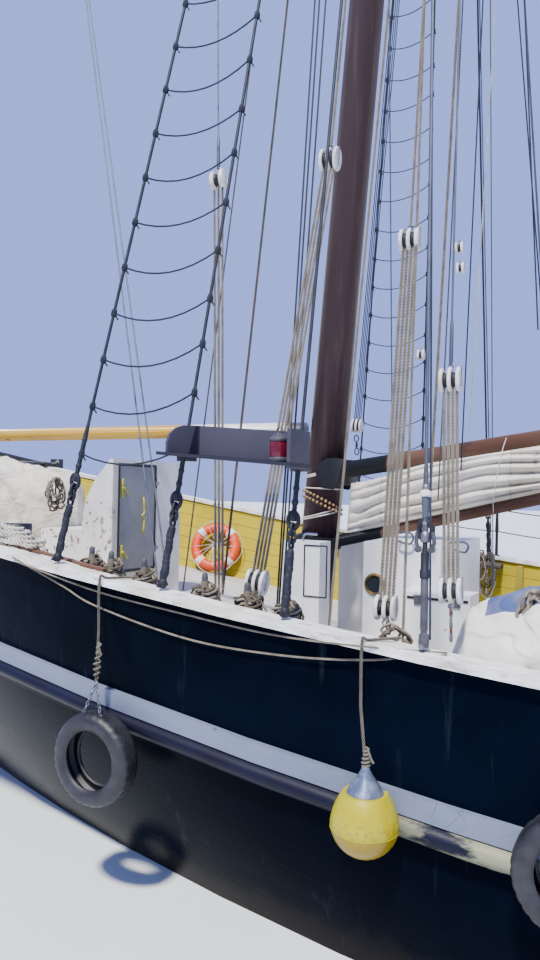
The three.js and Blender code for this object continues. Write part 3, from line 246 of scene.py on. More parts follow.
class Place:
    """Where a point of a surface is, which way it faces, and noise and colours worked out from that."""

    def __init__(self, tree):
        self.tree = tree
        given = add_node(tree, "ShaderNodeTexCoord").outputs
        self.here = given["Object"]
        self.x, self.y, self.z = self.parts(self.here)
        self.facing = self.parts(given["Normal"])

    def parts(self, vector):
        made = add_node(self.tree, "ShaderNodeSeparateXYZ", {0: vector})
        return [Field(self.tree, socket) for socket in made.outputs]

    def noise(self, size_mm, detail=4.0, stretch=(1, 1, 1)):
        """Noise in patches about size_mm across, longer along an axis whose stretch is large."""
        scaled = add_node(self.tree, "ShaderNodeMapping", {0: self.here, 3: [1 / s for s in stretch]})
        made = add_node(self.tree, "ShaderNodeTexNoise", {
            "Vector": scaled.outputs[0], "Scale": 1000 / size_mm, "Detail": detail, "Roughness": 0.6,
        })
        return Field(self.tree, made.outputs[0])

    def cells(self, scale, stretch=(1, 1, 1), **settings):
        """How far a point is from the middle of its cell, or from its edge by a setting."""
        scaled = add_node(self.tree, "ShaderNodeMapping", {0: self.here, 3: stretch})
        made = add_node(self.tree, "ShaderNodeTexVoronoi", {"Vector": scaled.outputs[0], "Scale": scale},
                        **settings)
        return Field(self.tree, made.outputs[0])

    def mixed(self, share, low, high):
        """A colour between two, by a share."""
        low = linear(low) if isinstance(low, str) else low
        high = linear(high) if isinstance(high, str) else high
        made = add_node(self.tree, "ShaderNodeMix", {0: share, 6: low, 7: high}, data_type="RGBA")
        return made.outputs[2]


GRAIN_DETAIL, PATCH_DETAIL, SPOT_DETAIL = 3, 5, 8
COAT_ROUGHNESS = 0.12


def surface(name, base, worn, patch_mm=300, patch_share=0.4, rough=0.5, rough_spread=0.12, grain_mm=6,
            bump_mm=0.4, stretch=(1, 1, 1), spots=None, spots_mm=90, spots_share=0.3, metallic=0.0,
            specular=0.5, tint="#ffffff", coat=0.0, extra=None):
    """A finish that wears from one colour to another in patches, with spots, grain and a relief."""
    material = bpy.data.materials.new(name)
    material.use_nodes = True
    tree = material.node_tree
    tree.nodes.clear()
    place = Place(tree)
    patches = place.noise(patch_mm, PATCH_DETAIL, stretch).rise(0.75 - patch_share, 1 - patch_share * 0.7)
    colour = place.mixed(patches, base, worn)
    grain = place.noise(grain_mm, GRAIN_DETAIL, stretch)
    height = grain * (bump_mm / 1000)
    if spots:
        spotted = place.noise(spots_mm, SPOT_DETAIL).rise(0.86 - spots_share, 0.93 - spots_share)
        colour = place.mixed(spotted, colour, spots)
    if extra:
        colour, height = extra(place, colour, height)
    roughness = add_node(tree, "ShaderNodeMapRange",
                         {0: grain, 3: rough - rough_spread, 4: rough + rough_spread})
    relief = add_node(tree, "ShaderNodeBump", {"Strength": 1.0, "Distance": 1.0, "Height": height})
    shader = add_node(tree, "ShaderNodeBsdfPrincipled", {
        "Base Color": colour, "Metallic": metallic, "Roughness": roughness.outputs[0],
        "Normal": relief.outputs[0], "Specular IOR Level": specular, "Specular Tint": linear(tint),
        "Coat Weight": coat, "Coat Roughness": COAT_ROUGHNESS,
    })
    add_node(tree, "ShaderNodeOutputMaterial", {0: shader.outputs[0]})
    return material


SHEER_LOW, SHEER_LOW_X, SHEER_RISE = 1.63, 2.5, 0.0078
PLANK_HIGH = 0.16
SALT, GROWTH = "#5c6b7c", "#201c17"


def above_sheer(place):
    """Height measured from the sheer line, so that planks follow the ship's side."""
    off = place.x - SHEER_LOW_X
    return place.z - off * off * SHEER_RISE - SHEER_LOW


def salt_runs(place, colour, size_mm):
    """Pale runs of dried salt down the paint."""
    runs = place.noise(size_mm, 4, (1, 1, 9)).rise(0.6, 0.8)
    return place.mixed(runs * 0.12, colour, SALT)


def side_planks(place, colour, height):
    """Painted planks with faint seams, soft unevenness, salt runs, and growth at the waterline."""
    seams = above_sheer(place).seams(PLANK_HIGH, 0.006)
    height = place.noise(900, 2, (3, 3, 1)) * 0.014 + height - seams * 0.0004
    wet = 1 - (place.z + place.noise(220) * 0.3).rise(0.24, 0.42)
    return salt_runs(place, place.mixed(wet * 0.7, colour, GROWTH), 120), height


def bulwark_sides(place, colour, height):
    """Dark paint outside and ochre paint inside, over planks."""
    inward = place.y * place.facing[1] < 0.0
    seams = above_sheer(place).seams(PLANK_HIGH, 0.008)
    dirt = place.noise(400, 6).rise(0.5, 0.75)
    ochre = place.mixed(dirt * 0.5, "#b3a02c", "#7d7228")
    ochre = place.mixed(seams * 0.5, ochre, "#4c4520")
    colour = place.mixed(inward, salt_runs(place, colour, 130), ochre)
    return colour, place.noise(700, 2, (3, 3, 1)) * 0.010 + height - seams * inward * 0.002


DECK_PLANK_WIDE, DECK_PLANK_LONG, CAULKING = 0.11, 3.2, 0.006


def deck_planks(place, colour, height):
    """Planks along the deck, under pale paint that is worn along the caulking and butts."""
    board = place.y.work("FLOOR", place.y / DECK_PLANK_WIDE)
    shade = Field(place.tree, add_node(place.tree, "ShaderNodeTexWhiteNoise", {"W": board},
                                       noise_dimensions="1D").outputs[0])
    butts = (shade * 3.7 + place.x).seams(DECK_PLANK_LONG, CAULKING)
    lines = butts.work("MAXIMUM", place.y.seams(DECK_PLANK_WIDE, CAULKING), butts)
    colour = place.mixed(shade * 0.25, colour, "#a9a69c")
    return place.mixed(lines * 0.6, colour, "#5d5a54"), height - lines * 0.003


CLOTH_WIDE, CLOTH_SEAM = 0.6, 0.012
THREAD_TURN, THREAD_HIGH = 1050, 0.00025


def canvas_weave(place, colour, height):
    """Cloths sewn side by side, with soft creases. Threads are drawn 6 mm apart so that they show."""
    for along in (place.x, place.z):
        height = height + along.work("SINE", along * THREAD_TURN) * THREAD_HIGH
    colour = place.mixed(place.x.seams(CLOTH_WIDE, CLOTH_SEAM) * 0.35, colour, "#8e8470")
    return colour, place.noise(160, 5, (3, 1, 1)) * 0.012 + height


def creases(place, colour, height):
    """Loose cloth: soft billows 420 mm wide, fine creases between them, and painted shade along the creases.
    """
    ridge = 1 - abs(place.noise(330, 1.2, (1, 1.6, 0.6)) - 0.5).rise(0.0, 0.06)
    height = place.noise(420, 2, (1, 1, 0.6)) * 0.05 + height + ridge * 0.005
    # The crease lines are darkened: painted shade in the folds
    return place.mixed(ridge * 0.18, colour, "#9a927f"), height


BOOM_WHITE_FROM, BOOM_GREY_FROM = -6.47, -5.22


def knots(place, colour, height):
    """Dark knots and long grain in varnished pine; the staysail boom is white abaft, with a grey end."""
    colour = place.mixed(place.noise(60, 6, (14, 1, 1)).rise(0.48, 0.72), colour, "#b98a3e")
    spots = 1 - place.cells(2.4, (1.1, 2.2, 2.2)).rise(0.05, 0.16)
    colour = place.mixed(spots * 0.8, colour, "#5b3a1c")
    scuffs = place.noise(50, 5, (3, 1, 1)).rise(0.55, 0.7)
    white = place.mixed(scuffs * 0.5, "#efece6", "#b3ab98")
    colour = place.mixed(place.x.rise(BOOM_WHITE_FROM, BOOM_WHITE_FROM + 0.03), colour, white)
    return place.mixed(place.x.rise(BOOM_GREY_FROM, BOOM_GREY_FROM + 0.01), colour, "#57555f"), height


def mast_streaks(place, colour, height):
    """Long runs in the gloss paint, and a black foot below the boom."""
    colour = place.mixed(place.noise(70, 3, (1, 1, 14)).rise(0.5, 0.8), colour, "#5f4a4d")
    return place.mixed(1 - place.z.rise(2.18, 2.2), colour, "#15151a"), height


def cracked_band(place, colour, height):
    """Thick pale paint that has cracked in a net in places."""
    cracks = 1 - place.cells(9.0, feature="DISTANCE_TO_EDGE").rise(0.004, 0.016)
    cracks = cracks * place.noise(900, 3).rise(0.55, 0.7)
    return place.mixed(cracks * 0.45, colour, "#5d6070"), height - cracks * 0.002


JAWS_REACH = 0.66


def black_jaws(place, colour, height):
    """The gaff's jaws and shoe, and the boom's inner end, are painted black round the foremast."""
    off = place.x - (place.z * RAKE + (FOREMAST_X - RAKE * RAKE_FROM_Z))
    reach = off.work("SQRT", off * off + place.y * place.y)
    return place.mixed(1 - reach.rise(JAWS_REACH, JAWS_REACH + 0.01), colour, "#17181c"), height


def strake_wear(place, colour, height):
    """Black paint worn through to weathered wood where things rub abaft the foremast."""
    where = place.x.rise(-3.4, -2.6) * (1 - place.x.rise(-1.2, 0.6))
    bare = where * place.noise(130, 7, (3, 1, 1)).rise(0.42, 0.52)
    return place.mixed(bare, colour, "#85866c"), height


def lumpy_cap(place, colour, height):
    """Many coats of white paint, lumpy, darker in the hollows, and with a yellow tinge in places."""
    lumps = place.noise(90, 4, (2, 1, 1))
    colour = place.mixed((1 - lumps.rise(0.3, 0.45)) * 0.7, colour, "#8f897d")
    tinge = place.noise(260, 5, (2, 1, 1)).rise(0.52, 0.68)
    return place.mixed(tinge * 0.4, colour, "#d9cf9c"), lumps * 0.034 + height


BOARD_LOW, BOARD_AFT, BOARD_SIDE, BOARD_CHEEK = 2.95, -3.73, 2.75, -4.54


def board_parts(place, colour, height):
    """The sidelight board's shelf has a dark rim and a pale underside, and its cheek's corner a painted
    shadow.
    """
    level = place.x * RAKE + (place.z - (BOARD_LOW + RAKE * BOARD_AFT))
    up = place.facing[2]
    rim = level.near(-0.009, 0.0135) * (abs(up) < 0.5)
    colour = place.mixed(rim, colour, "#23222c")
    # A painted shadow in the corner beside the fore cheek
    shadow_wedge = abs(place.y) - BOARD_SIDE < level * -0.26 + 0.088
    ahead = place.x < BOARD_CHEEK + 0.012
    colour = place.mixed(shadow_wedge * ahead, colour, "#1d1b2b")
    return place.mixed(up < -0.5, colour, "#c6c4b8"), height


def rust_runs(place, colour, height):
    """Rust spots and short runs low on the port side of the hood."""
    where = (place.y < -0.6) * place.z.near(2.33, 0.28)
    blots = place.noise(70, 6, (1, 1, 1.6)).rise(0.56, 0.6)
    runs = place.noise(26, 4, (1, 1, 8)).rise(0.6, 0.7) * 0.45
    rust = where * blots.work("MAXIMUM", blots, runs)
    return place.mixed(rust * 0.85, colour, "#7a4a2c"), height


def darker_low(place, colour, height):
    """The buoy's lower third is darker and duller, and it is rubbed and dirty in a belt above that."""
    uneven = place.z + place.noise(60, 5) * 0.03
    colour = place.mixed((1 - uneven.rise(0.955, 0.975)) * 0.8, colour, "#927204")
    belt = uneven.near(1.01, 0.035) * place.noise(22, 6).rise(0.5, 0.62)
    return place.mixed(belt * 0.6, colour, "#8a6a1c"), height


# Navy enamel brushed on planks: nearly black, with a blue-green sheen where it mirrors sky and water
NAVY = {"base": "#03060f", "worn": "#060c19", "rough": 0.27, "rough_spread": 0.06, "grain_mm": 14,
        "bump_mm": 0.2, "specular": 0.05, "tint": "#2d6486"}
HULL_PAINT = surface("navy enamel on planking", patch_mm=1400, extra=side_planks, **NAVY)
BULWARK_PAINT = surface("navy and ochre enamel on the bulwark", patch_mm=900, extra=bulwark_sides, **NAVY)
# White enamel rolled on steel and ply: an even soft gloss, greyed in patches and spotted with grime
WHITE_PAINT = surface("white enamel on steel and ply", "#efefec", "#d3d2cc", patch_mm=500, patch_share=0.3,
                      rough=0.38, grain_mm=30, bump_mm=0.5, spots="#9a907f", spots_mm=160, spots_share=0.16)
# The same enamel on thin steel plate: rust comes through in specks and runs
HOOD_PAINT = surface("white enamel, rust stained", "#efeee9", "#d2d0c8", patch_mm=400, rough=0.4,
                     grain_mm=30, bump_mm=0.5, spots="#9a5b26", spots_mm=60, spots_share=0.15,
                     extra=rust_runs)
# Many brushed coats of paint on a worn hardwood rail: a lumpy, chipped white
CAP_PAINT = surface("thick white paint on the rail cap", "#f4f2ee", "#d2ccc0", patch_mm=200, rough=0.45,
                    grain_mm=12, bump_mm=1.0, spots="#857a66", spots_mm=60, spots_share=0.215,
                    extra=lumpy_cap)
# Brushed enamel on a thick plank: pale lilac grey with stains and a net of cracks
BAND_PAINT = surface("lilac grey paint on the wale", "#737c90", "#666e81", patch_mm=700, grain_mm=16,
                     bump_mm=0.6, spots="#474c5a", spots_mm=110, spots_share=0.18, extra=cracked_band)
# Brushed enamel on a half-round of hardwood: blue black, rubbed bare in places
STRAKE_PAINT = surface("navy black paint on the rubbing strake", "#0a0b1b", "#101228", patch_mm=500,
                       rough=0.45, grain_mm=10, bump_mm=0.8, specular=0.2, extra=strake_wear)
# Thick black paint on cast or forged iron: uneven, with rust at its chips
BLACK_PAINT = surface("black iron paint", "#141519", "#232429", patch_mm=120, rough=0.45, grain_mm=8,
                      bump_mm=0.8, spots="#5a3a26", spots_mm=50, spots_share=0.16)
# Dark grey enamel on ply: even and dull
GREY_PAINT = surface("dark grey enamel", "#413f4a", "#383741", patch_mm=500, rough=0.45, grain_mm=10,
                     bump_mm=0.3, specular=0.3, extra=board_parts)
# Mid grey enamel on a steel door: a soft gloss with scuffs
DOOR_PAINT = surface("mid grey enamel", "#8a8b8c", "#7b7c7d", patch_mm=400, rough=0.4, grain_mm=12,
                     spots="#56534e", spots_mm=70, spots_share=0.17)
# Gloss paint over a pine mast: red brown that is nearly black in shade, with long streaks
MAST_PAINT = surface("red-brown gloss on timber", "#3d2a2f", "#4d3a40", patch_mm=900, rough=0.38,
                     grain_mm=30, bump_mm=0.6, stretch=(1, 1, 6), specular=0.35, extra=mast_streaks)
# Oiled or varnished spruce, weathered: brown with long grain and dark stains
SPAR_WOOD = surface("weathered varnish on spars", "#54382b", "#6e503f", patch_mm=160, patch_share=0.5,
                    rough=0.55, grain_mm=7, bump_mm=0.6, stretch=(9, 1, 1), spots="#3a2a22", spots_share=0.2,
                    specular=0.3, extra=black_jaws)
# Planed and oiled hardwood: warm brown, with pores along the grain
BROWN_WOOD = surface("oiled iroko", "#5b3d2b", "#79583f", patch_mm=200, grain_mm=7, bump_mm=0.6,
                     stretch=(9, 1, 1), spots="#33251b", spots_share=0.18, specular=0.35)
# Bare hardwood greyed by salt: dull and coarse
PIN_WOOD = surface("weathered pin rail", "#443f37", "#5a5348", patch_mm=120, patch_share=0.5, rough=0.75,
                   grain_mm=5, bump_mm=0.8, stretch=(6, 1, 1), spots="#25211c", spots_mm=60,
                   spots_share=0.22, specular=0.25)
# Varnished pine: golden, glossy, with knots
YELLOW_WOOD = surface("varnished pine", "#c39220", "#d6b044", patch_mm=500, rough=0.35, grain_mm=8,
                      stretch=(12, 1, 1), coat=0.2, extra=knots)
# Pine planks under thin, walked-on deck paint: pale and matt
DECK_WOOD = surface("pale deck paint on pine", "#cfccc2", "#b3aea2", patch_mm=700, rough=0.7, grain_mm=7,
                    bump_mm=0.8, stretch=(12, 1, 1), spots="#857c6c", spots_mm=200, spots_share=0.18,
                    extra=deck_planks)
# Woven flax sailcloth: cream, matt, with mildew spots
CANVAS = surface("cream sailcloth", "#e2ddd0", "#c6beaa", patch_mm=350, patch_share=0.42, rough=0.85,
                 rough_spread=0.06, grain_mm=10, bump_mm=0.5, spots="#9d937d", spots_mm=220,
                 spots_share=0.19, extra=canvas_weave)
# Loose woven awning cloth, bleached: nearly white and creased
WHITE_CANVAS = surface("white awning canvas", "#efece3", "#d6d0bf", rough=0.85, rough_spread=0.05,
                       grain_mm=10, bump_mm=0.5, spots="#a89e88", spots_mm=200, spots_share=0.17,
                       extra=creases)
# Heavier woven cloth of a sail's bag: cream, with painted shade in the folds
BAG_CANVAS = surface("cream sail cover", "#ddd7c8", "#bcb39f", patch_mm=400, patch_share=0.42, rough=0.85,
                     rough_spread=0.05, grain_mm=10, bump_mm=0.5, spots="#968c76", spots_mm=180,
                     spots_share=0.2, extra=creases)
# The same awning cloth, dyed: a faded blue
BLUE_CANVAS = surface("blue awning canvas", "#3d4a7c", "#52608f", patch_mm=250, rough=0.85, grain_mm=10,
                      bump_mm=0.5, extra=creases)
# Laid hemp, weathered: grey brown and fibrous. The twist is in the mesh.
STRAND = surface("weathered rope strand", "#968d7b", "#70685a", patch_mm=90, rough=0.88, rough_spread=0.06,
                 grain_mm=2.5, bump_mm=0.8)
# Laid nylon for mooring: nearly white, furred by use
WHITE_STRAND = surface("mooring rope strand", "#d9d4c8", "#aca595", patch_mm=140, rough=0.88, grain_mm=3,
                       bump_mm=0.8)
# Laid hemp that hangs in the wet: darker and greyer
FENDER_STRAND = surface("grey fender rope strand", "#746d5f", "#575045", patch_mm=70, rough=0.9,
                        rough_spread=0.05, grain_mm=2.5, bump_mm=0.8)
# Old laid hemp in coils: brown with tar and handling
COIL_STRAND = surface("old brown rope strand", "#5f5545", "#453d31", patch_mm=60, rough=0.9,
                      rough_spread=0.05, grain_mm=2.5, bump_mm=0.8)
# The shade between a rope's strands
STRAND_GAP_SHADE = surface("painted shade between strands", "#0d0b08", "#171410", patch_mm=80, rough=0.95, rough_spread=0.03,
               grain_mm=3)
# Marline wound over wire and tarred: black with a blue cast, ribbed and dull
TAR = surface("tarred marline over wire", "#14161f", "#242733", patch_mm=80, rough=0.6, grain_mm=4,
              bump_mm=1.2, specular=0.35)
# Drawn and galvanised wire, laid up: dark grey with little shine
WIRE = surface("galvanised wire rope", "#4c515e", "#3b3f4b", patch_mm=150, rough=0.55, grain_mm=4,
               bump_mm=0.5, metallic=0.3)
# Hot-dip galvanised steel: dull metal with rust where the zinc is gone
STEEL = surface("galvanised steel", "#6d7076", "#8d8f92", patch_mm=70, rough=0.45, grain_mm=5, bump_mm=0.6,
                metallic=0.8, spots="#6b4028", spots_mm=60, spots_share=0.17)
# Polished stainless tube: a sharp bright line
CHROME = surface("polished steel rail", "#b9bcc0", "#a2a6ac", patch_mm=90, rough=0.2, rough_spread=0.05,
                 grain_mm=20, bump_mm=0.1, metallic=1.0)
# Bare steel chain, rusted: red brown and rough
RUSTY = surface("rusty chain", "#6d3b2a", "#4a3a34", patch_mm=40, rough=0.7, grain_mm=4, bump_mm=1.2,
                metallic=0.3)
# Cast bronze: brown gold, greened by salt
BRONZE = surface("cast bronze", "#8f6c3a", "#5f6b4c", patch_mm=120, rough=0.4, bump_mm=0.5, metallic=0.9)
# Moulded and worn rubber: black grey with dusty scuffs
TYRE = surface("worn tyre rubber", "#141418", "#2a2a30", patch_mm=110, bump_mm=0.8, spots="#6f6e6d",
               spots_mm=100, spots_share=0.17)
# Moulded and inflated vinyl: a smooth yellow, scuffed, and darker towards the bottom
BUOY = surface("yellow inflated vinyl", "#aca400", "#a79300", patch_mm=200, rough=0.32, grain_mm=30,
               bump_mm=0.3, spots="#8d8a78", spots_share=0.19, extra=darker_low)
# The same vinyl at the rope's eye: blue grey with a sheen
BUOY_TOP = surface("blue grey vinyl", "#59647c", "#8a93a5", patch_mm=60, rough=0.3, grain_mm=12,
                   metallic=0.4)
# Painted cloth over cork: an orange that has faded a little
ORANGE = surface("orange lifebuoy cover", "#e24a18", "#cf3a12", patch_mm=200, grain_mm=8, bump_mm=0.5,
                 spots="#8d3a1c", spots_share=0.15)
# Yellow enamel on small forgings: bright, dirty at the edges
YELLOW_PAINT = surface("yellow enamel on fittings", "#b9b02f", "#8f8a2c", patch_mm=60, rough=0.4)
# White paint on ash cheeks: chipped and marked by rope
BLOCK_PAINT = surface("white paint on block cheeks", "#e6e3dc", "#bdb7ab", patch_mm=60, bump_mm=0.6,
                      spots="#77695a", spots_mm=35, spots_share=0.2)
# Extruded rubber: a dull black line
GASKET = surface("black rubber seal", "#101013", "#1e1e21", patch_mm=60, rough=0.6, grain_mm=5, bump_mm=0.3)
# Float glass before a dark cabin: dark and mirror smooth
GLASS = surface("dark window glass", "#1b232b", "#222c36", patch_mm=900, rough=0.08, rough_spread=0.03,
                grain_mm=200, bump_mm=0.1)
# Pressed glass of the lamps, unlit: deep red and deep green
RED_GLASS = surface("red lamp glass", "#6a1226", "#4a0c1a", patch_mm=60, rough=0.12, rough_spread=0.04,
                    grain_mm=20, bump_mm=0.2)
GREEN_GLASS = surface("green lamp glass", "#0c5c38", "#0a4328", patch_mm=60, rough=0.12, rough_spread=0.04,
                      grain_mm=20, bump_mm=0.2)
# Turned and painted iron: dark grey, rubbed by the ropes
GREY_IRON = surface("dark grey iron pins", "#34343a", "#4a4a50", patch_mm=50, rough=0.55, grain_mm=5,
                    bump_mm=0.6)
# Enamel brushed on the bulwark's timbers: ochre with grime
OCHRE_PAINT = surface("ochre enamel on timbers", "#a39226", "#7d7228", patch_mm=250, rough=0.45, grain_mm=10,
                      bump_mm=0.5, spots="#5c5320", spots_mm=80, spots_share=0.18)
# Turned beads of boxwood: pale brown and worn
BEAD_WOOD = surface("worn parrel beads", "#a4825a", "#7d5f3f", patch_mm=40, grain_mm=4)
# Painted ground under the ship: pale and matt, so that shadows show on it
FLOOR = surface("pale floor", "#d6dad9", "#d2d6d5", patch_mm=4000, rough=0.8, grain_mm=900, bump_mm=0.0)


# Mesh building
def circle(middle, one, two, wide, tall, count):
    """Points of an oval round a middle, in the plane of two directions."""
    turns = [2 * math.pi * k / count for k in range(count)]
    return [Vector(middle) + one * (math.cos(t) * wide) + two * (math.sin(t) * tall) for t in turns]


def smoothed(mesh, sharp_degrees=None):
    """Smooth shading, sharp only where faces meet at more than an angle."""
    mesh.polygons.foreach_set("use_smooth", [True] * len(mesh.polygons))
    if sharp_degrees:
        mesh.set_sharp_from_angle(angle=math.radians(sharp_degrees))


ON_AXIS = 0.0005


class Piece:
    """Closed shapes gathered into one mesh, each with its own finish."""

    def __init__(self, name, body=SHIP, slot=None):
        self.name, self.body, self.slot = name, body, slot
        self.points, self.faces, self.finish_of, self.maps, self.finishes = [], [], [], [], []

    def finish_index(self, finish):
        if finish not in self.finishes:
            self.finishes.append(finish)
        return self.finishes.index(finish)

    def face(self, corners, mapped, index):
        self.faces.append(corners)
        self.maps.extend(mapped)
        self.finish_of.append(index)

    def loft(self, rings, finish, lengths=None, closed=False):
        """A skin over rings of equal count, closed at both ends, or end to end when closed."""
        start, count = len(self.points), len(rings[0])
        index = self.finish_index(finish)
        if lengths is None:
            lengths = [0.0]
            for a, b in zip(rings, rings[1:]):
                lengths.append(lengths[-1] + (Vector(b[0]) - Vector(a[0])).length)
        for ring in rings:
            self.points.extend(tuple(p) for p in ring)
        last = len(rings) if closed else len(rings) - 1
        for r in range(last):
            a, b = start + r * count, start + ((r + 1) % len(rings)) * count
            va = lengths[r]
            vb = lengths[r + 1] if r + 1 < len(rings) else lengths[r] + (lengths[r] - lengths[r - 1])
            for k in range(count):
                n = (k + 1) % count
                ua, ub = k / count, (k + 1) / count
                self.face((a + k, a + n, b + n, b + k), [(ua, va), (ub, va), (ub, vb), (ua, vb)], index)
        if not closed:
            for ring_start, order in ((start, -1), (start + (len(rings) - 1) * count, 1)):
                corners = [ring_start + k for k in range(count)][::order]
                self.face(tuple(corners), [(k / count, 0) for k in range(count)], index)

    def tube(self, path, radius, finish, sides=8, closed=False):
        """A round rod or rope along a path. The radius is one number, or one for each point."""
        path = [Vector(p) for p in path]
        radii = radius if hasattr(radius, "__len__") else [radius] * len(path)
        rings, lengths, total = [], [], 0.0
        across = None
        for i, here in enumerate(path):
            before = path[i - 1] if i or closed else here
            after = path[(i + 1) % len(path)] if i + 1 < len(path) or closed else here
            way = (after - before).normalized()
            if across is None:
                helper = ALONG if abs(way.x) < 0.8 else ACROSS
                across = way.cross(helper).normalized()
            across = (across - way * across.dot(way)).normalized()
            other = way.cross(across)
            if i:
                total += (here - path[i - 1]).length
            lengths.append(total)
            rings.append(circle(here, across, other, radii[i], radii[i], sides))
        self.loft(rings, finish, lengths, closed)

    def ring(self, middle, axis, radius, thick, finish, around=20, sides=8, stretch=(1, 1)):
        """A torus, or an oval link when stretched along its first direction."""
        axis = Vector(axis).normalized()
        one = axis.cross(UP if abs(axis.z) < 0.8 else ALONG).normalized()
        path = circle(middle, one, axis.cross(one), radius * stretch[0], radius * stretch[1], around)
        self.tube(path, thick, finish, sides, closed=True)

    def plate(self, outline, thickness, finish, bevel=0.0):
        """A flat plate over a closed outline, thickened along a vector, with a small edge round."""
        outline = [Vector(p) for p in outline]
        push = Vector(thickness)
        middle = sum(outline, Vector()) / len(outline)
        if not bevel:
            rings = [outline, [p + push for p in outline]]
        else:
            inset = [p + (middle - p).normalized() * bevel for p in outline]
            edge = push.normalized() * bevel
            rings = [inset, [p + edge for p in outline], [p + push - edge for p in outline],
                     [p + push for p in inset]]
        self.loft(rings, finish)

    def box(self, low, high, finish, bevel=0.004):
        """A box between two corners with small bevels on its upright edges and faces."""
        low, high = Vector(low), Vector(high)
        b = min(bevel, *[(high[i] - low[i]) * 0.3 for i in range(3)])
        outline = [
            (low.x + b, low.y), (high.x - b, low.y), (high.x, low.y + b), (high.x, high.y - b),
            (high.x - b, high.y), (low.x + b, high.y), (low.x, high.y - b), (low.x, low.y + b),
        ]
        self.plate([(x, y, low.z) for x, y in outline], (0, 0, high.z - low.z), finish, b)

    def turned(self, middle, profile, finish, around=32):
        """A shape turned about an upright axis from (radius, height) rows that begin and end on it."""
        middle = Vector(middle)
        rings = []
        for radius, up in profile:
            wide = max(radius, ON_AXIS)
            rings.append(circle(middle + UP * up, ALONG, ACROSS, wide, wide, around))
        self.loft(rings, finish)

    def made(self, sharp_degrees=35):
        """Makes the piece's object, which rides on its body."""
        mesh = bpy.data.meshes.new(self.name)
        mesh.from_pydata(self.points, [], self.faces)
        mapped = mesh.uv_layers.new(name="UVMap")
        mapped.data.foreach_set("uv", np.array(self.maps, np.float32).ravel())
        mesh.polygons.foreach_set("material_index", self.finish_of)
        for finish in self.finishes:
            mesh.materials.append(finish)
        outward(mesh)
        smoothed(mesh, sharp_degrees)
        made = put(self.name, mesh)
        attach(made, self.body)
        return made


def outward(mesh):
    """Turns every closed shape of a mesh so that its faces point outwards."""
    shape = bmesh.new()
    shape.from_mesh(mesh)
    bmesh.ops.recalc_face_normals(shape, faces=shape.faces)
    shape.to_mesh(mesh)
    shape.free()


def curve_between(start, end, sag=0.0, count=12):
    """Points from start to end, hanging by sag at the middle."""
    start, end = Vector(start), Vector(end)
    points = []
    for k in range(count + 1):
        t = k / count
        points.append(start.lerp(end, t) - UP * (4 * sag * t * (1 - t)))
    return points


def smooth_path(knots_of_path, count=8):
    """A Catmull-Rom curve through the points."""
    p = [Vector(k) for k in knots_of_path]
    p = [p[0] * 2 - p[1]] + p + [p[-1] * 2 - p[-2]]
    points = []
    for a, b, c, d in zip(p, p[1:], p[2:], p[3:]):
        for k in range(count):
            t = k / count
            points.append(0.5 * (2 * b + (c - a) * t + (2 * a - 5 * b + 4 * c - d) * t * t
                                 + (3 * b - a - 3 * c + d) * t ** 3))
    points.append(p[-2])
    return points


def smoothly(value, low, high):
    """0 below low, 1 above high, and smooth between them."""
    t = min(max((value - low) / (high - low), 0), 1)
    return t * t * (3 - 2 * t)


def between(table, value):
    """Reads a table of (place, amount) rows between its rows."""
    for (a, va), (b, vb) in zip(table, table[1:]):
        if value <= b:
            return va + (vb - va) * smoothly(value, a, b)
    return table[-1][1]


# Geometry Nodes: strands of rope along paths. Sizes are shares of the rope's diameter.
STRANDS, STEPS_A_LAY, ROPE_SIDES = 3, 5.0, 5
STRAND_AWAY, STRAND_RADIUS, CORE_RADIUS, LAY_LENGTH = 0.33, 0.16, 0.26, 2.4


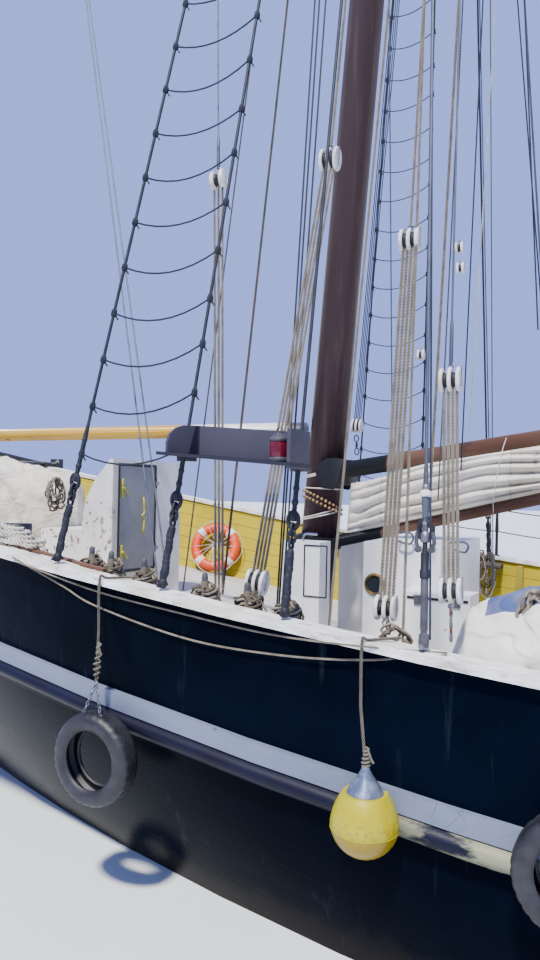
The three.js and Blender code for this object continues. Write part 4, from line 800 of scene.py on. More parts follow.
def laid_rope_tree():
    """Winds three round strands about a core along each path; a near-black core is painted shade between the
    strands.
    """
    tree = bpy.data.node_groups.new("laid rope", "GeometryNodeTree")
    for label, kind in (("Paths", "Geometry"), ("Rope diameter", "Float"), ("Lay length", "Float"),
                        ("Finish", "Material"), ("Core finish", "Material")):
        tree.interface.new_socket(label, in_out="INPUT", socket_type="NodeSocket" + kind)
    tree.interface.new_socket("Rope", in_out="OUTPUT", socket_type="NodeSocketGeometry")
    given = add_node(tree, "NodeGroupInput").outputs
    diameter, lay = Field(tree, given["Rope diameter"]), Field(tree, given["Lay length"])
    step = lay / STEPS_A_LAY
    paths = add_node(tree, "GeometryNodeResampleCurve", {"Curve": given["Paths"], "Length": step},
                     mode="LENGTH")
    length = Field(tree, add_node(tree, "GeometryNodeSplineParameter").outputs["Length"])
    normal = add_node(tree, "GeometryNodeInputNormal").outputs[0]
    tangent = add_node(tree, "GeometryNodeInputTangent").outputs[0]
    other = add_node(tree, "ShaderNodeVectorMath", {0: tangent, 1: normal},
                     operation="CROSS_PRODUCT").outputs[0]
    turns = length / lay
    profile = add_node(tree, "GeometryNodeCurvePrimitiveCircle", {
        "Resolution": ROPE_SIDES, "Radius": diameter * STRAND_RADIUS,
    })
    join = add_node(tree, "GeometryNodeJoinGeometry")
    for strand in range(STRANDS):
        angle = (turns + strand / STRANDS) * (2 * math.pi)
        parts = []
        for direction, wave in ((normal, "COSINE"), (other, "SINE")):
            reach = angle.work(wave, angle) * (diameter * STRAND_AWAY)
            scaled = add_node(tree, "ShaderNodeVectorMath", {0: direction, "Scale": reach},
                              operation="SCALE")
            parts.append(scaled.outputs[0])
        offset = add_node(tree, "ShaderNodeVectorMath", {0: parts[0], 1: parts[1]},
                          operation="ADD").outputs[0]
        moved = add_node(tree, "GeometryNodeSetPosition", {"Geometry": paths.outputs[0], "Offset": offset})
        skin = add_node(tree, "GeometryNodeCurveToMesh", {
            "Curve": moved.outputs[0], "Profile Curve": profile.outputs[0], "Fill Caps": True,
        })
        tree.links.new(skin.outputs[0], join.inputs[0])
    strands = add_node(tree, "GeometryNodeSetMaterial",
                       {"Geometry": join.outputs[0], "Material": given["Finish"]})
    # The core: in its near-black default finish it is painted shade between the strands
    core_profile = add_node(tree, "GeometryNodeCurvePrimitiveCircle", {
        "Resolution": ROPE_SIDES, "Radius": diameter * CORE_RADIUS,
    })
    core = add_node(tree, "GeometryNodeCurveToMesh", {
        "Curve": given["Paths"], "Profile Curve": core_profile.outputs[0], "Fill Caps": True,
    })
    dark = add_node(tree, "GeometryNodeSetMaterial",
                    {"Geometry": core.outputs[0], "Material": given["Core finish"]})
    both = add_node(tree, "GeometryNodeJoinGeometry")
    tree.links.new(strands.outputs[0], both.inputs[0])
    tree.links.new(dark.outputs[0], both.inputs[0])
    real = add_node(tree, "GeometryNodeRealizeInstances", {0: both.outputs[0]})
    add_node(tree, "NodeGroupOutput", {0: real.outputs[0]})
    return tree


LAID_ROPE = laid_rope_tree()


def grown(name, paths, tree, values):
    """Grows a tree on paths, and keeps the result as a plain mesh that rides on the ship."""
    curve = bpy.data.curves.new(name + "_paths", "CURVE")
    curve.dimensions = "3D"
    for path in paths:
        spline = curve.splines.new("POLY")
        spline.points.add(len(path) - 1)
        for point, place in zip(spline.points, path):
            point.co = (*place, 1)
    source = put(name + "_paths", curve)
    modifier = source.modifiers.new("grow", "NODES")
    modifier.node_group = tree
    sockets = {item.name: item.identifier for item in tree.interface.items_tree if item.in_out == "INPUT"}
    for label, value in values.items():
        modifier[sockets[label]] = value
    source.update_tag()
    depsgraph = bpy.context.evaluated_depsgraph_get()
    mesh = bpy.data.meshes.new_from_object(source.evaluated_get(depsgraph))
    bpy.data.objects.remove(source)
    smoothed(mesh)
    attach(put(name, mesh), SHIP)


def laid_rope(name, paths, diameter, finish=STRAND, core=STRAND_GAP_SHADE):
    """Three-strand rope along paths, as a piece of its own."""
    grown(name, paths, LAID_ROPE, {
        "Rope diameter": diameter, "Lay length": diameter * LAY_LENGTH, "Finish": finish,
        "Core finish": core,
    })


# CAD solids that pieces below don't replace. Columns: finish, angle in degrees under which edges are smooth
# (0 keeps the solid as it is), material slot, solids.
FINISHES = (
    (HULL_PAINT, 28, "navy_paint", ("hull", "stern_frame")),
    (BULWARK_PAINT, 28, "navy_paint", ("bulwark",)),
    (DECK_WOOD, 0, None, ("deck",)),
    (CAP_PAINT, 28, "white_paint", ("rail_cap",)),
    (BAND_PAINT, 28, "band_grey", ("wale_band",)),
    (STRAKE_PAINT, 40, "black_paint", ("rubbing_strake",)),
    (MAST_PAINT, 30, "mast_red", ("foremast", "fore_topmast", "mainmast", "main_topmast")),
    (TAR, 0, None, ("main_shrouds",)),
    (WIRE, 0, None, ("main_backstays",)),
    (YELLOW_WOOD, 30, "yellow_wood", ("bowsprit",)),
    (BROWN_WOOD, 0, None, ("bowsprit_bitts",)),
    (WIRE, 0, None, ("forestay", "jib_stay", "outer_stay")),
    (STEEL, 0, None, ("bobstay",)),
    (WIRE, 0, None, ("spring_stay",)),
    (SPAR_WOOD, 32, "brown_wood", ("fore_boom", "fore_gaff", "main_boom", "main_gaff")),
    (YELLOW_WOOD, 32, "yellow_wood", ("staysail_boom",)),
    (HOOD_PAINT, 0, None, ("companion_hood",)),
    (DOOR_PAINT, 0, None, ("companion_door",)),
    (WHITE_PAINT, 0, None, ("fore_deckhouse", "mast_locker_port", "mast_locker_starboard", "hatch_coaming")),
    (BROWN_WOOD, 0, None, ("hatch_lid_port", "hatch_lid_starboard")),
    (WHITE_PAINT, 0, None, ("aft_deckhouse",)),
    (BROWN_WOOD, 0, None, ("aft_deckhouse_door", "steering_box")),
    (BROWN_WOOD, 50, "brown_wood", ("steering_wheel",)),
    (BLACK_PAINT, 30, "black_paint", ("rudder",)),
    (BRONZE, 50, "bronze", ("propeller",)),
    (BROWN_WOOD, 0, None, ("windlass_frame",)),
    (STEEL, 40, "steel", ("windlass_drum",)),
    (BLACK_PAINT, 40, "black_paint", ("bollard_port", "bollard_starboard")),
    (PIN_WOOD, 40, "brown_wood", ("pin_rail_port", "pin_rail_starboard")),
    (GREY_PAINT, 0, None, ("sidelight_port", "sidelight_starboard")),
    (BLACK_PAINT, 40, "black_paint", ("anchor_port", "anchor_starboard")),
)


def dress(name, finish, angle):
    """Gives a CAD solid its finish. A rounded one is shown as a smooth copy of the same form."""
    node = frame["nodes"][name]
    if not angle:
        node.material_slots[0].material = finish
        return
    mesh = node.data.copy()
    mesh.name = name + "_smooth"
    shape = bmesh.new()
    shape.from_mesh(mesh)
    bmesh.ops.remove_doubles(shape, verts=shape.verts, dist=1e-5)
    shape.to_mesh(mesh)
    shape.free()
    mesh.materials.clear()
    mesh.materials.append(finish)
    smoothed(mesh, angle)
    made = put(name + "_smooth", mesh)
    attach(made, node["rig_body"])
    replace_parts(made, name)


for finish, angle, slot, node_names in FINISHES:
    for node_name in node_names:
        dress(node_name, finish, angle)

# Fore shrouds: tarred wire with served eyes, rigging screws and ratlines, in the place of their CAD solid
SHROUD_INSET, CAP_OUT = 0.05, 0.055
EYE_AHEAD = (0.02, 0.08, 0.16, 0.16)
HOUNDS_Z, MAST_COLLAR = 18.27, 0.196
# Columns: the mast's x, its shrouds' feet from that, the height of their eyes, the radius of their collar
FORE_SHROUDS = (FOREMAST_X, (-0.64, 0.29, 1.20, 2.06), HOUNDS_Z, MAST_COLLAR)
MAIN_SHROUDS = (MAINMAST_X, (-0.30, 0.60), 18.84, 0.203)


def shroud_ends(mast, number_of, side):
    """Foot on the rail cap and eye at the mast of one shroud, counted from the foremost."""
    mast_foot_x, feet, eye_z, collar = mast
    x = mast_foot_x + feet[number_of]
    edge, _, top = cap_edge(x, side)
    foot = Vector((x, side * (abs(edge) - CAP_OUT - SHROUD_INSET), top))
    ahead = EYE_AHEAD[number_of]
    beside_mast = side * math.sqrt(collar ** 2 - ahead ** 2)
    return foot, Vector((mast_x(mast_foot_x, eye_z) - ahead, beside_mast, eye_z))


def up_from(foot, way):
    """What gives the place at a distance from a foot along a direction."""
    return lambda up: foot + way * up


# Rows of (height up the shroud, radius)
CHAIN_LINKS = ((0.605, 0.036), (0.548, 0.026), (0.503, 0.026), (0.458, 0.025))
TAPED_FOOT = ((0.078, 0.018), (0.066, 0.027), (0.045, 0.031), (0.024, 0.028), (0.012, 0.018))
SCREW_CAP = ((0.86, 0.030), (0.875, 0.034), (0.89, 0.032), (0.90, 0.018))
SCREW_SOCKET = ((0.87, 0.023), (0.80, 0.023), (0.78, 0.018), (0.74, 0.020))
SCREW_NUT = ((0.60, 0.014), (0.55, 0.016), (0.54, 0.024), (0.45, 0.024), (0.44, 0.030), (0.40, 0.028))
SCREW_TUBE = ((0.41, 0.019), (0.40, 0.0215), (0.12, 0.0215), (0.11, 0.018))
SCREW_FORK = ((0.13, 0.017), (0.10, 0.018), (0.09, 0.028), (0.05, 0.030))
SCREW_EYE = ((0.06, 0.032), (0.02, 0.028))
# Half widths of the shackle's arms at three heights
SHACKLE_ARM = ((0.66, 0.045), (0.60, 0.052), (0.56, 0.038))
PLATE_BOLT_UP = 0.035
TAPE_FOOT, TAPE_TALL, TAPE_RADIUS, TAPE_STEPS = 0.06, 0.375, 0.0235, 44
LINK_LONG = 1.5


def rod(piece, at, rows, finish, sides=12):
    """A turned rod from (distance, radius) rows, where at gives the place at a distance."""
    piece.tube([at(up) for up, _ in rows], [radius for _, radius in rows], finish, sides)


def bolt(piece, middle, half, thick, finish, sides=8, way=ACROSS):
    """A bolt through a middle, half long to each side."""
    piece.tube([middle - way * half, middle + way * half], thick, finish, sides)


def taped_screw(piece, at, way, seed):
    """A rigging screw served over with tarred tape, between chain links and a shackled chain plate."""
    for k, (up, size) in enumerate(CHAIN_LINKS):
        axis = way.cross(ACROSS) if k % 2 else ACROSS
        piece.ring(at(up), axis, size, size * 0.4, TAR, 16, 8, (1, 1.45))
    path, radii = [], []
    for k in range(TAPE_STEPS + 1):
        t = k / TAPE_STEPS
        lump = 0.004 * cloud.noise(Vector((t * 11, seed * 3.1, 0))) + 0.0025 * abs(math.sin(t * 34 + seed))
        shoulder = 0.004 * math.exp(-((t - 0.16) / 0.07) ** 2) + 0.005 * math.exp(-((t - 0.84) / 0.07) ** 2)
        ends = 0.012 * (1 - smoothly(t, 0, 0.05)) + 0.010 * smoothly(t, 0.95, 1)
        path.append(at(TAPE_FOOT + TAPE_TALL * (1 - t)) + ALONG * (0.003 * math.sin(t * 17 + seed)))
        radii.append(TAPE_RADIUS + lump + shoulder - ends)
    piece.tube(path, radii, TAR, 14)
    rod(piece, at, TAPED_FOOT, TAR, 14)
    bolt(piece, at(PLATE_BOLT_UP), 0.052, 0.011, TAR)


def grey_screw(piece, at):
    """A bare rigging screw: shackle pair, closed grey tube and fork, on a chain plate's eye."""
    rod(piece, at, SCREW_CAP, BLOCK_PAINT)
    rod(piece, at, SCREW_SOCKET, WIRE)
    piece.ring(at(0.67), ACROSS, 0.038, 0.013, TAR, 18, 8, (1, LINK_LONG))
    for side in (-1, 1):
        arm = [at(up) + ALONG * (half * side) for up, half in SHACKLE_ARM]
        piece.tube(arm, 0.012, GREY_IRON, 8)
        bolt(piece, arm[-1], 0.02, 0.018, GREY_IRON, 10)
    bolt(piece, at(SHACKLE_ARM[-1][0]), 0.06, 0.009, STEEL, way=ALONG)
    rod(piece, at, SCREW_NUT, TAR)
    rod(piece, at, SCREW_TUBE, GREY_IRON, 14)
    rod(piece, at, SCREW_FORK, GREY_IRON)
    rod(piece, at, SCREW_EYE, GREY_IRON)
    bolt(piece, at(PLATE_BOLT_UP), 0.06, 0.015, STEEL, 10)


# Wire clamps and servings above the screw. Columns: low end, high end, radius.
SERVINGS = ((0.60, 0.66, 0.026), (0.70, 0.735, 0.022), (0.79, 0.82, 0.021), (0.90, 0.93, 0.020))
DOUBLED_WIRE, SINGLE_WIRE, GREY_SCREW_ON = 0.017, 0.0115, 3
shrouds = Piece("fore_shrouds_rigged", slot="tarred_wire")
screws = Piece("fore_rigging_screws", slot="black_paint")
for side in (PORT, STARBOARD):
    for number_of in range(len(FORE_SHROUDS[1])):
        foot, head = shroud_ends(FORE_SHROUDS, number_of, side)
        way = (head - foot).normalized()
        grey = number_of == GREY_SCREW_ON
        metal = STEEL if grey else TAR
        at = up_from(foot, way)
        radii = [DOUBLED_WIRE, DOUBLED_WIRE, SINGLE_WIRE, SINGLE_WIRE]
        shrouds.tube([at(0.60), at(0.95), at(1.05), head], radii, WIRE if grey else TAR, 8)
        for low, high, thick in SERVINGS:
            ends = (low, low + 0.008, high - 0.008, high)
            rod(shrouds, at, list(zip(ends, (thick * 0.8, thick, thick, thick * 0.8))), metal, 10)
        if grey:
            grey_screw(screws, at)
        else:
            taped_screw(screws, at, way, number_of)
collar_x = mast_x(FOREMAST_X, HOUNDS_Z)
shrouds.ring((collar_x, 0, HOUNDS_Z), (RAKE, 0, 1), 0.19, 0.03, TAR, 24, 8)
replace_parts(shrouds.made(), "fore_shrouds")
screws.made()

# Ratlines hang between the two foremost shrouds of each side and mast, tied at every crossing
RATLINE_LOW, RATLINE_STEP, RATLINE_RADIUS = 3.02, 0.35, 0.0065
KNOT_ROWS = ((-0.03, 0.014), (-0.012, 0.024), (0.016, 0.022), (0.034, 0.013))


def ratlines(name, mast, count, seed):
    """Sagging lines between two shrouds, each tied with a lump of a knot and a short tail."""
    piece = Piece(name, slot="tarred_wire")
    dice = random.Random(seed)
    for side in (PORT, STARBOARD):
        ends = [shroud_ends(mast, number_of, side) for number_of in (0, 1)]
        for k in range(count):
            z = RATLINE_LOW + k * RATLINE_STEP
            crossing = [foot.lerp(head, (z + tilt - foot.z) / (head.z - foot.z))
                        for (foot, head), tilt in zip(ends, (0.0, 0.06 + dice.uniform(-0.03, 0.03)))]
            wide = (crossing[1] - crossing[0]).length
            line = curve_between(*crossing, sag=0.11 * wide + dice.uniform(0, 0.015), count=8)
            piece.tube(line, RATLINE_RADIUS, TAR, 6)
            for (foot, head), here in zip(ends, crossing):
                rod(piece, up_from(here, (head - foot).normalized()), KNOT_ROWS, TAR, 7)
                piece.tube([here, here + Vector((0.03, -0.012 * side, -0.05))], 0.006, TAR, 5)
    piece.made()


ratlines("fore_ratlines", FORE_SHROUDS, 39, 7)
ratlines("main_ratlines", MAIN_SHROUDS, 40, 11)

# Furled gaff sails: long folds between boom and gaff, in the raked frame of the mast that carries them
RAKE_ANGLE = math.atan(RAKE)


def raked(foot, x, y, z):
    """A place in a mast's own frame, turned with its rake."""
    c, s = math.cos(RAKE_ANGLE), math.sin(RAKE_ANGLE)
    return Vector((foot + x * c + z * s, y, RAKE_FROM_Z - x * s + z * c))


# The spars' lines and radii, and where the sail lies between them, in the mast's own frame
SPAR_COLUMNS = ("foot", "body", "boom_z", "boom_slope", "boom_r", "gaff_z", "gaff_slope", "gaff_r",
                "start", "end", "half")
SAILS = {
    "furled_foresail": (FOREMAST_X, "fore_boom", 1.487, 0.328, 0.060, 2.216, 0.2336, 0.084,
                        0.295, 5.48, 0.168),
    "furled_mainsail": (MAINMAST_X, "main_boom", 2.000, 0.160, 0.090, 2.760, 0.1000, 0.095,
                        0.305, 7.73, 0.208),
}
WIDTH_ALONG = ((0, 0.5), (0.07, 0.86), (0.3, 1), (0.6, 0.9), (0.85, 0.66), (1, 0.3))
SAIL_FOLDS = 5.4


def furled_sail(name, spars):
    """A sail stowed in folds that drift along its length, with each fold's end tucked in by the mast."""
    stations, rows = 150, 44
    rings = []
    for i in range(stations + 1):
        share = i / stations
        x = spars["start"] + (spars["end"] - spars["start"]) * share
        low = spars["boom_z"] + spars["boom_slope"] * x + spars["boom_r"] * 0.7
        high = spars["gaff_z"] + spars["gaff_slope"] * x - spars["gaff_r"] * 0.7
        high -= 0.085 * (1 - smoothly(x - spars["start"], 0.1, 0.8))
        wide = spars["half"] * between(WIDTH_ALONG, share)
        nose = math.sqrt(1 - (1 - min(1, share / 0.012)) ** 2) * 0.9 + 0.1
        sides = []
        for side in (PORT, STARBOARD):
            profile = []
            for k in range(rows + 1):
                u = k / rows
                drift = cloud.noise(Vector((x * 0.55, side * 7, u * 1.3))) * 1.5
                drift += cloud.noise(Vector((x * 1.6, side * 9, u * 2.1))) * 0.35
                lip = abs(math.sin(math.pi * (u * SAIL_FOLDS + drift + 0.12))) ** 0.7
                fold = math.floor(u * SAIL_FOLDS + drift + 0.12)
                late = (fold * 7) % 3
                tuck = smoothly(x - spars["start"], 0.02 + 0.07 * late, 0.12 + 0.08 * late)
                depth = 0.5 + 0.14 * cloud.noise(Vector((x * 1.4, side * 3, fold)))
                ends = math.sqrt(max(0.0, 1 - abs(2 * u - 1) ** 5))
                out = wide * nose * ends * (1 - depth * (1 - lip)) * (0.6 + 0.4 * tuck)
                out += 0.010 * cloud.noise(Vector((x * 6, side * 5, u * 9)))
                sag = 0.02 * math.sin(x * 7.4 + side) * math.sin(math.pi * u)
                profile.append((side * max(out, 0.012), low + (high - low) * u - sag * 0.5))
            sides.append(profile)
        ring = sides[0] + sides[1][::-1]
        rings.append([raked(spars["foot"], x, y, z) for y, z in ring])
    piece = Piece(name + "_folds", body=spars["body"], slot="canvas")
    piece.loft(rings, CANVAS)
    made = piece.made(70)
    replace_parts(made, name)


LASHING_STEP, LASHING_FIRST, LASHING_RADIUS, LASHING_GAP = 0.85, 0.55, 0.0035, 0.006


def spar_lashings(name, spars):
    """Thin cord round gaff, sail and boom, and the lacing between them."""
    piece = Piece(name + "_lashings", body=spars["body"])
    long = spars["end"] - spars["start"]
    for k in range(round(long / LASHING_STEP)):
        x = spars["start"] + LASHING_FIRST + k * LASHING_STEP
        slant = 0.06 if k % 2 else -0.03
        wide = spars["half"] * between(WIDTH_ALONG, (x - spars["start"]) / long) + 0.004
        low = spars["boom_z"] + spars["boom_slope"] * x - spars["boom_r"] - LASHING_GAP
        high = spars["gaff_z"] + spars["gaff_slope"] * x + spars["gaff_r"] + LASHING_GAP
        path = []
        for j in range(32):
            t = 2 * math.pi * j / 32
            up = 0.5 - 0.5 * math.cos(t)
            ends = spars["boom_r"] if up < 0.5 else spars["gaff_r"]
            out = math.sin(t) * (wide if 0.12 < up < 0.88 else ends * 1.9)
            path.append(raked(spars["foot"], x + slant * up, out, low + (high - low) * up))
        piece.tube(path, LASHING_RADIUS, WHITE_STRAND, 5, closed=True)
    piece.made()


for sail_name, row in SAILS.items():
    spars = dict(zip(SPAR_COLUMNS, row))
    furled_sail(sail_name, spars)
    spar_lashings(sail_name, spars)


# Soft bundles on deck
def bundle(name, rows, along_y, finish, folds, deep, seed, stripe=None):
    """A heap of canvas over rows of (x, half width, top z), with folds that run down its sides."""
    stations, around = 90, 48
    first, last = rows[0][0], rows[-1][0]
    halves, tops = [(r[0], r[1]) for r in rows], [(r[0], r[2]) for r in rows]
    rings = []
    for i in range(stations + 1):
        share = i / stations
        x = first + (last - first) * share
        half, top = between(halves, x), between(tops, x)
        end = math.sqrt(1 - abs(2 * share - 1) ** 9)
        ring = []
        for k in range(around):
            t = 2 * math.pi * k / around
            out, up = math.sin(t), -math.cos(t)
            drift = cloud.noise(Vector((x * 0.8, up * 0.9, seed)))
            fold = abs(math.sin(folds * (share + 0.35 * up) + 3.4 * drift))
            crumple = cloud.noise(Vector((x * 4.5, out * 2.2, up * 2.6 + seed)))
            crumple += 0.5 * cloud.noise(Vector((x * 11, out * 5, up * 6 + seed)))
            pull = 1 - deep * (1 - fold ** 0.5) + deep * 0.6 * crumple
            y = along_y + half * pull * end * math.copysign(abs(out) ** 0.8, out)
            floor_z = deck_z(x, along_y)
            middle, tall = (floor_z + top) / 2, (top - floor_z) / 2
            rise = tall * math.copysign(abs(up) ** 0.85, up) * (pull if up > 0 else 1)
            z = middle + rise * (0.55 + 0.45 * end)
            ring.append((x, y, max(z, floor_z + 0.001)))
        rings.append(ring)
    piece = Piece(name + "_cloth", slot="canvas")
    piece.loft(rings, finish)
    if stripe:
        (from_x, to_x), blue = stripe
        for f in range(around // 3, around // 2 + 3):
            for r in range(int(stations * from_x), int(stations * to_x)):
                piece.finish_of[r * around + f] = piece.finish_index(blue)
    made = piece.made(75)
    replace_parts(made, name)


BAG_ROWS = ((-10.35, 0.12, 2.90), (-10.00, 0.30, 3.12), (-9.22, 0.39, 3.14), (-8.37, 0.39, 2.97),
            (-8.10, 0.36, 2.92))
BUNDLE_ROWS = ((-2.94, 0.12, 1.95), (-2.78, 0.33, 2.17), (-2.30, 0.39, 2.25), (-1.80, 0.36, 2.12),
               (-1.63, 0.15, 1.85))
BUNDLE_Y, BLUE_PART = -2.33, (0.18, 0.92)
bundle("furled_staysail", BAG_ROWS, 0.0, BAG_CANVAS, 9, 0.20, 3)
bundle("canvas_bundle", BUNDLE_ROWS, BUNDLE_Y, WHITE_CANVAS, 6, 0.13, 8, (BLUE_PART, BLUE_CANVAS))

# Fenders on their ropes over the port side
TYRES = {"tyre_fender_fore": -5.085, "tyre_fender_aft": -2.110}
TYRE_Z, TYRE_HALF = 0.99, 0.092
FENDER_ROPE, KNOT_TURNS, KNOT_STEPS, KNOT_ROPE = 0.022, 6.5, 36, 0.0075


def fender_rope(name, x, y, z, knot_low, knot_high):
    """A laid rope from a fender, up the side and over the rail cap, with its knot."""
    edge, _, top = cap_edge(x)
    over = Vector((x - 0.05, edge - 0.012, top + 0.004))
    knots_of_path = [(x, y, z), over - UP * 0.35, over, (x - 0.03, edge + 0.05, top + 0.011),
                     (x + 0.10, edge + 0.21, top + 0.011)]
    start = Vector(knots_of_path[0])
    path = [start.lerp(knots_of_path[1], k / 6) for k in range(6)] + smooth_path(knots_of_path[1:], 6)
    laid_rope(name, [path], FENDER_ROPE, FENDER_STRAND)
    knot = Piece(name + "_knot")
    span = knot_high - knot_low
    turns = []
    for k in range(KNOT_STEPS):
        t = k / (KNOT_STEPS - 1)
        swell = 0.012 + 0.010 * math.sin(math.pi * min(1, t * 1.4))
        angle = t * KNOT_TURNS * 2 * math.pi
        middle_y = y + (over.y - y) * 0.3 * t
        turns.append((x + swell * math.cos(angle), middle_y + swell * math.sin(angle), knot_low + span * t))
    knot.tube(turns, KNOT_ROPE, FENDER_STRAND, 7)
    tail = curve_between((x + 0.01, y, knot_high), (x + 0.05, y - 0.01, knot_high - 0.07), 0.01)
    knot.tube(tail, 0.006, FENDER_STRAND, 6)
    knot.made(60)


# Half of the tyre's section from the bead to the middle of the tread. Columns: radius, half-width.
TYRE_SECTION = (
    (0.204, 0.050), (0.194, 0.058), (0.193, 0.070), (0.203, 0.080), (0.222, 0.090), (0.250, 0.0915),
    (0.276, 0.086), (0.292, 0.074), (0.302, 0.060), (0.306, 0.048), (0.307, 0.032), (0.298, 0.030),
    (0.298, 0.024), (0.307, 0.022), (0.307, 0.007), (0.298, 0.005),
)
TYRE_INSIDE = ((0.286, 0.0), (0.284, 0.055), (0.262, 0.076), (0.232, 0.078), (0.212, 0.068), (0.205, 0.056))
TYRE_STEPS, CHAIN_LINKS_LONG = 96, 8
CHAIN_TOP, ROPE_TOP, KNOT_TOP = 0.50, 0.53, 0.76


def tyre_tread(name, x, y):
    """A worn road tyre: bead, shoulders and grooves, hollow inside, with cuts across the tread."""
    outline = list(TYRE_SECTION) + [(r, -w) for r, w in TYRE_SECTION[::-1]]
    outline += [(r, -w) for r, w in TYRE_INSIDE[::-1]] + list(TYRE_INSIDE[1:])
    piece = Piece(name + "_worn", slot="tyre")
    rings = []
    for k in range(TYRE_STEPS):
        t = 2 * math.pi * k / TYRE_STEPS
        ring = []
        for r, w in outline:
            sipe = 0.005 if k % 3 == 0 and r > 0.29 and abs(w) > 0.03 else 0.0
            ring.append((x + (r - sipe) * math.cos(t), y + w, TYRE_Z + (r - sipe) * math.sin(t)))
        rings.append(ring)
    piece.loft(rings, TYRE, closed=True)
    made = piece.made(35)
    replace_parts(made, name)
    chain = Piece(name + "_chain")
    top = Vector((x + 0.01, y - 0.02, TYRE_Z + CHAIN_TOP))
    for foot_x, turn in ((-0.085, 0), (0.06, 1)):
        foot = Vector((x + foot_x, y - 0.03, TYRE_Z + 0.290))
        way = (top - foot).normalized()
        for k in range(CHAIN_LINKS_LONG):
            here = foot.lerp(top, (k + 0.5) / CHAIN_LINKS_LONG)
            across = way.cross(ACROSS) if (k + turn) % 2 else ACROSS
            chain.ring(here, across, 0.0095, 0.0035, STEEL, 10, 5, (1, LINK_LONG))
    chain.ring(top, ACROSS, 0.014, 0.005, STEEL, 12, 6)
    chain.made(50)
    fender_rope(name + "_rope", x, y - 0.01, TYRE_Z + CHAIN_TOP + 0.01, TYRE_Z + ROPE_TOP, TYRE_Z + KNOT_TOP)


for tyre_name, x in TYRES.items():
    cad_tyre = [v.co.y for v in frame["nodes"][tyre_name].data.vertices]
    tyre_tread(tyre_name, x, min(cad_tyre) + TYRE_HALF)

BUOY_X, BUOY_Z, BUOY_RADIUS = -3.205, 0.985, 0.19
buoy_y = -(abs(side_y(BUOY_X, BUOY_Z + 0.2)) + BUOY_RADIUS * 0.62)
# Rows of (radius, height) of the moulded eye on top of the buoy
BUOY_CROWN = ((0, 0), (0.101, 0.0), (0.103, 0.008), (0.075, 0.055), (0.045, 0.095), (0.024, 0.135),
              (0.022, 0.15), (0, 0.152))
CROWN_UP, SEAM_DOWN = 0.155, 0.03
buoy = Piece("buoy_fender_round", slot="buoy_yellow")
buoy_body = []
for k in range(23):
    t = math.pi * k / 30
    narrow = max(0, -math.cos(t))
    buoy_body.append((BUOY_RADIUS * math.sin(t) * (1 - 0.16 * narrow),
                      0.05 * narrow - BUOY_RADIUS * math.cos(t)))
buoy_body.append((0.0, buoy_body[-1][1] + 0.001))
buoy.turned((BUOY_X, buoy_y, BUOY_Z), buoy_body, BUOY, 48)
buoy.turned((BUOY_X, buoy_y, BUOY_Z + CROWN_UP), BUOY_CROWN, BUOY_TOP, 40)
buoy.ring((BUOY_X, buoy_y, BUOY_Z - SEAM_DOWN), UP, BUOY_RADIUS - 0.0015, 0.0022, BUOY, 48, 6)
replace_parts(buoy.made(40), "buoy_fender")
fender_rope("buoy_fender_rope", BUOY_X, buoy_y, BUOY_Z + 0.29, BUOY_Z + 0.27, BUOY_Z + 0.40)

# Lifebuoy on the starboard side, with white bands and a grab line round it
LIFEBUOY_X, LIFEBUOY_Z, LIFEBUOY_RING, LIFEBUOY_TUBE = -7.61, 1.92, 0.29, 0.072
LIFEBUOY_AXIS = Vector((-0.4, 1, -0.42)).normalized()
cad_buoy = frame["nodes"]["lifebuoy"].data
lifebuoy_at = sum((v.co for v in cad_buoy.vertices), Vector()) / len(cad_buoy.vertices)
lifebuoy_at.x, lifebuoy_at.z = LIFEBUOY_X, LIFEBUOY_Z
one = LIFEBUOY_AXIS.cross(UP).normalized()
two = LIFEBUOY_AXIS.cross(one)
SPOKES, HUB_RADIUS, HUB_BACK, LINE_SLACK = 16, 0.035, 0.055, 0.035


def round_lifebuoy(angle, radius, back=0.0):
    """A place on a circle about the lifebuoy's middle, and behind its plane."""
    return lifebuoy_at + (one * math.cos(angle) + two * math.sin(angle)) * radius - LIFEBUOY_AXIS * back


lifebuoy = Piece("lifebuoy_covered", slot="orange")
lifebuoy.ring(lifebuoy_at, LIFEBUOY_AXIS, LIFEBUOY_RING, LIFEBUOY_TUBE, ORANGE, 64, 20)
for quarter in range(4):
    middle_angle = math.pi / 4 + quarter * math.pi / 2
    arc = [round_lifebuoy(middle_angle + (k - 3) * 0.045, LIFEBUOY_RING) for k in range(7)]
    lifebuoy.tube(arc, LIFEBUOY_TUBE + 0.002, WHITE_CANVAS, 20)
    line = []
    for k in range(17):
        slack = LINE_SLACK * math.sin(math.pi * k / 16)
        radius = LIFEBUOY_RING + LIFEBUOY_TUBE + 0.006 + slack
        line.append(round_lifebuoy(middle_angle + math.pi / 2 * k / 16, radius, 0.01))
    lifebuoy.tube(line, 0.005, WHITE_STRAND, 6)
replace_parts(lifebuoy.made(60), "lifebuoy")
lifebuoy_spokes = Piece("lifebuoy_lashing")
for k in range(SPOKES):
    a = 2 * math.pi * (k + 0.3 * math.sin(k * 2.3)) / SPOKES
    spoke = [round_lifebuoy(a, LIFEBUOY_RING + 0.03, LIFEBUOY_TUBE),
             round_lifebuoy(a, LIFEBUOY_RING - 0.05, LIFEBUOY_TUBE - 0.004),
             round_lifebuoy(a + 1.8, HUB_RADIUS, HUB_BACK)]
    lifebuoy_spokes.tube(spoke, 0.0038, WHITE_STRAND, 5)
hub = lifebuoy_at - LIFEBUOY_AXIS * HUB_BACK
lifebuoy_spokes.ring(hub, LIFEBUOY_AXIS, HUB_RADIUS, 0.006, WHITE_STRAND, 20, 6)
lifebuoy_spokes.made()


